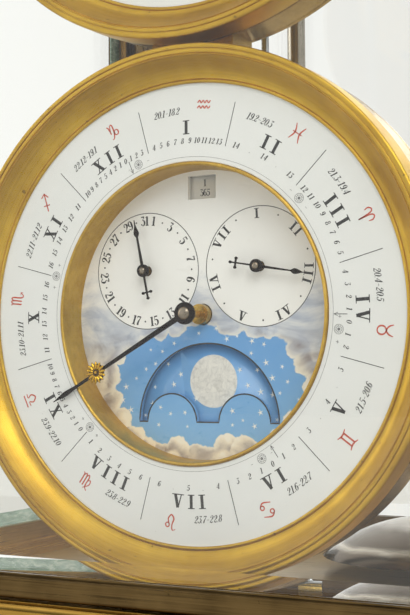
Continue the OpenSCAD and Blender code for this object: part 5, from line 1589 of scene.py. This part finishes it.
def add_bob():
    """Lens shaped brass bob with a raised band round its rim."""
    low, high = span("pendulum_bob")
    radius = half_width("pendulum_bob")
    half = (high.y - low.y) / 2
    turns = [math.pi / 2 * i / 24 for i in range(25)]
    face = [((radius - 3.6) * math.sin(a), BOB_HOLLOW + (half - BOB_HOLLOW) * math.cos(a)) for a in turns]
    face += [(radius - 3.2, BOB_HOLLOW + 0.25),
             *run(radius, BOB_RIM, (-2.9, 0.4), (-2.4, 0.7), (-1.0, 0.7), (-0.3, 0), (0, -0.7))]
    mesh = lathe(face + [(r, -h) for r, h in face[::-1]], middle_of("pendulum_bob"), FORWARD, 128)
    piece("bob_turned", painted(mesh, BOB_GILT), "pendulum", "gilt_dial", "pendulum_bob")


def add_nut():
    """Fluted rating nut."""
    low, high = span("rating_nut")
    radius = half_width("rating_nut")
    height = high.z - low.z
    middle = middle_of("rating_nut")
    profile = [(NUT_BORE, 0), *run(radius, 0, (-0.9, 0), (-0.35, 0.35), (0, 0.7)),
               *run(radius, height, (0, -0.7), (-0.35, -0.35), (-0.9, 0)), (NUT_BORE, height)]
    mesh = lathe(profile, (middle.x, middle.y, low.z), UPWARD, NUT_FLUTES * 4)
    for vertex in mesh.vertices:
        x, y = vertex.co.x / MM - middle.x, vertex.co.y / MM - middle.y
        if math.hypot(x, y) > radius - 0.5:
            dip = 1 - 0.05 * (0.5 + 0.5 * math.cos(NUT_FLUTES * math.atan2(y, x)))
            vertex.co.x, vertex.co.y = (middle.x + x * dip) * MM, (middle.y + y * dip) * MM
    piece("nut_fluted", painted(tidy(mesh, 30), BOB_GILT), "rating_nut", "gilt_dial", "rating_nut")


add_bell()
add_bob()
add_nut()


# Screws on the backs of the calendar work and of the movement

SCREW_R = 5
SCREW_SIZE = 0.36
MOVEMENT_SCREW_R = 34.5
MOVEMENT_SCREW_TURNS = (25, 112, 240, 300)
CAL_SCREW_Y = ENAMEL_Y + 27.7


def screw_shape():
    """Slotted screw, ten millimetres across so that its scale is easy to name, facing +Y."""
    top = SCREW_R - 0.6
    slot = 0.75
    head = [(0, 0), (SCREW_R, 0), (SCREW_R, 2.2), (top, 3), (0, 3)]
    parts = [lathe(head, (0, 0, 0), FORWARD.inverted(), 32)]
    reach = math.degrees(math.acos(slot / top))
    for side in (1, -1):
        outline = [(side * x, z) for x, z in arc((0, 0), top, -reach, reach, 14)]
        points = [(x, level, z) for level in (3 - 0.01, 4.4) for x, z in outline]
        parts.append(tidy(mesh_of(points, prism_faces(len(outline))), 30))
    return joined(parts)


def add_screws():
    recipe = Recipe("screws_on_points", {"Points": "Object", "Screw": "Object", "Size": "Float", "Seed": "Int",
                                         "Finish": "Material"})
    recipe.finish(recipe.shape("Points"), recipe.shape("Screw"), recipe.take("Size"), 3.14)
    groups = (("calendar_screws", CAL, half_width("calendar_back_plate") - 4, CAL_SCREW_Y, CORNERS),
              ("movement_screws", TIME, MOVEMENT_SCREW_R, span("back_plate")[1].y, MOVEMENT_SCREW_TURNS))
    for seed, (name, dial, radius, y, turns) in enumerate(groups):
        places = [(dial.x + radius * math.cos(math.radians(a)), y, dial.z + radius * math.sin(math.radians(a)))
                  for a in turns]
        mesh = recipe.make({"Points": mesh_of(places, []), "Screw": screw_shape(), "Size": SCREW_SIZE,
                            "Seed": seed, "Finish": SCREW_BLUE})
        piece(name, mesh, "case", "steel")


add_screws()


# Finishes of the nodes that keep their CAD form

CAD_FINISHES = {
    FLOOR_SATIN: "floor_plate ceiling_plate",
    POST_BRONZE: "corner_posts",
    RAIL_GILT: "side_rails",
    STEEL: "door_pins trip_lever trip_rod pallets hammer fly",
    ROD_STEEL: "pendulum_rod",
    DRUM_GILT: "drum_mounts",
    PAINTED_SKY: "calendar_centre",
    TIME_ENAMEL: "time_centre",
    CAL_WORKS: "calendar_front_plate calendar_back_plate moon_idler year_wheel year_reduction date_wheel "
               "day_wheel",
    TIME_WORKS: "front_plate back_plate pendulum_cock going_barrel going_winding strike_barrel strike_winding "
                "centre_wheel third_wheel escape_wheel minute_wheel pin_wheel",
    CASE_GILT: "bell_post",
    HAND_STEEL: "hour_hand minute_hand",
}
ARBOR_RADII = {
    4.4: "centre_wheel third_wheel escape_wheel pin_wheel",
    4.0: "going_winding strike_winding going_barrel strike_barrel",
    3.0: "moon_idler year_reduction",
}


def steel_arbor(node, radius):
    """Gives the faces of a wheel that lie close to its arbor the finish of steel."""
    mesh = NODES[node].data
    mesh.materials.append(STEEL)
    middle = middle_of(node) * MM
    for face in mesh.polygons:
        corners = [mesh.vertices[i].co for i in face.vertices]
        if all(math.hypot(c.x - middle.x, c.z - middle.z) < radius * MM for c in corners):
            face.material_index = 1


for finish, nodes in CAD_FINISHES.items():
    for node in nodes.split():
        painted(NODES[node].data, finish)
for radius, nodes in ARBOR_RADII.items():
    for node in nodes.split():
        steel_arbor(node, radius)
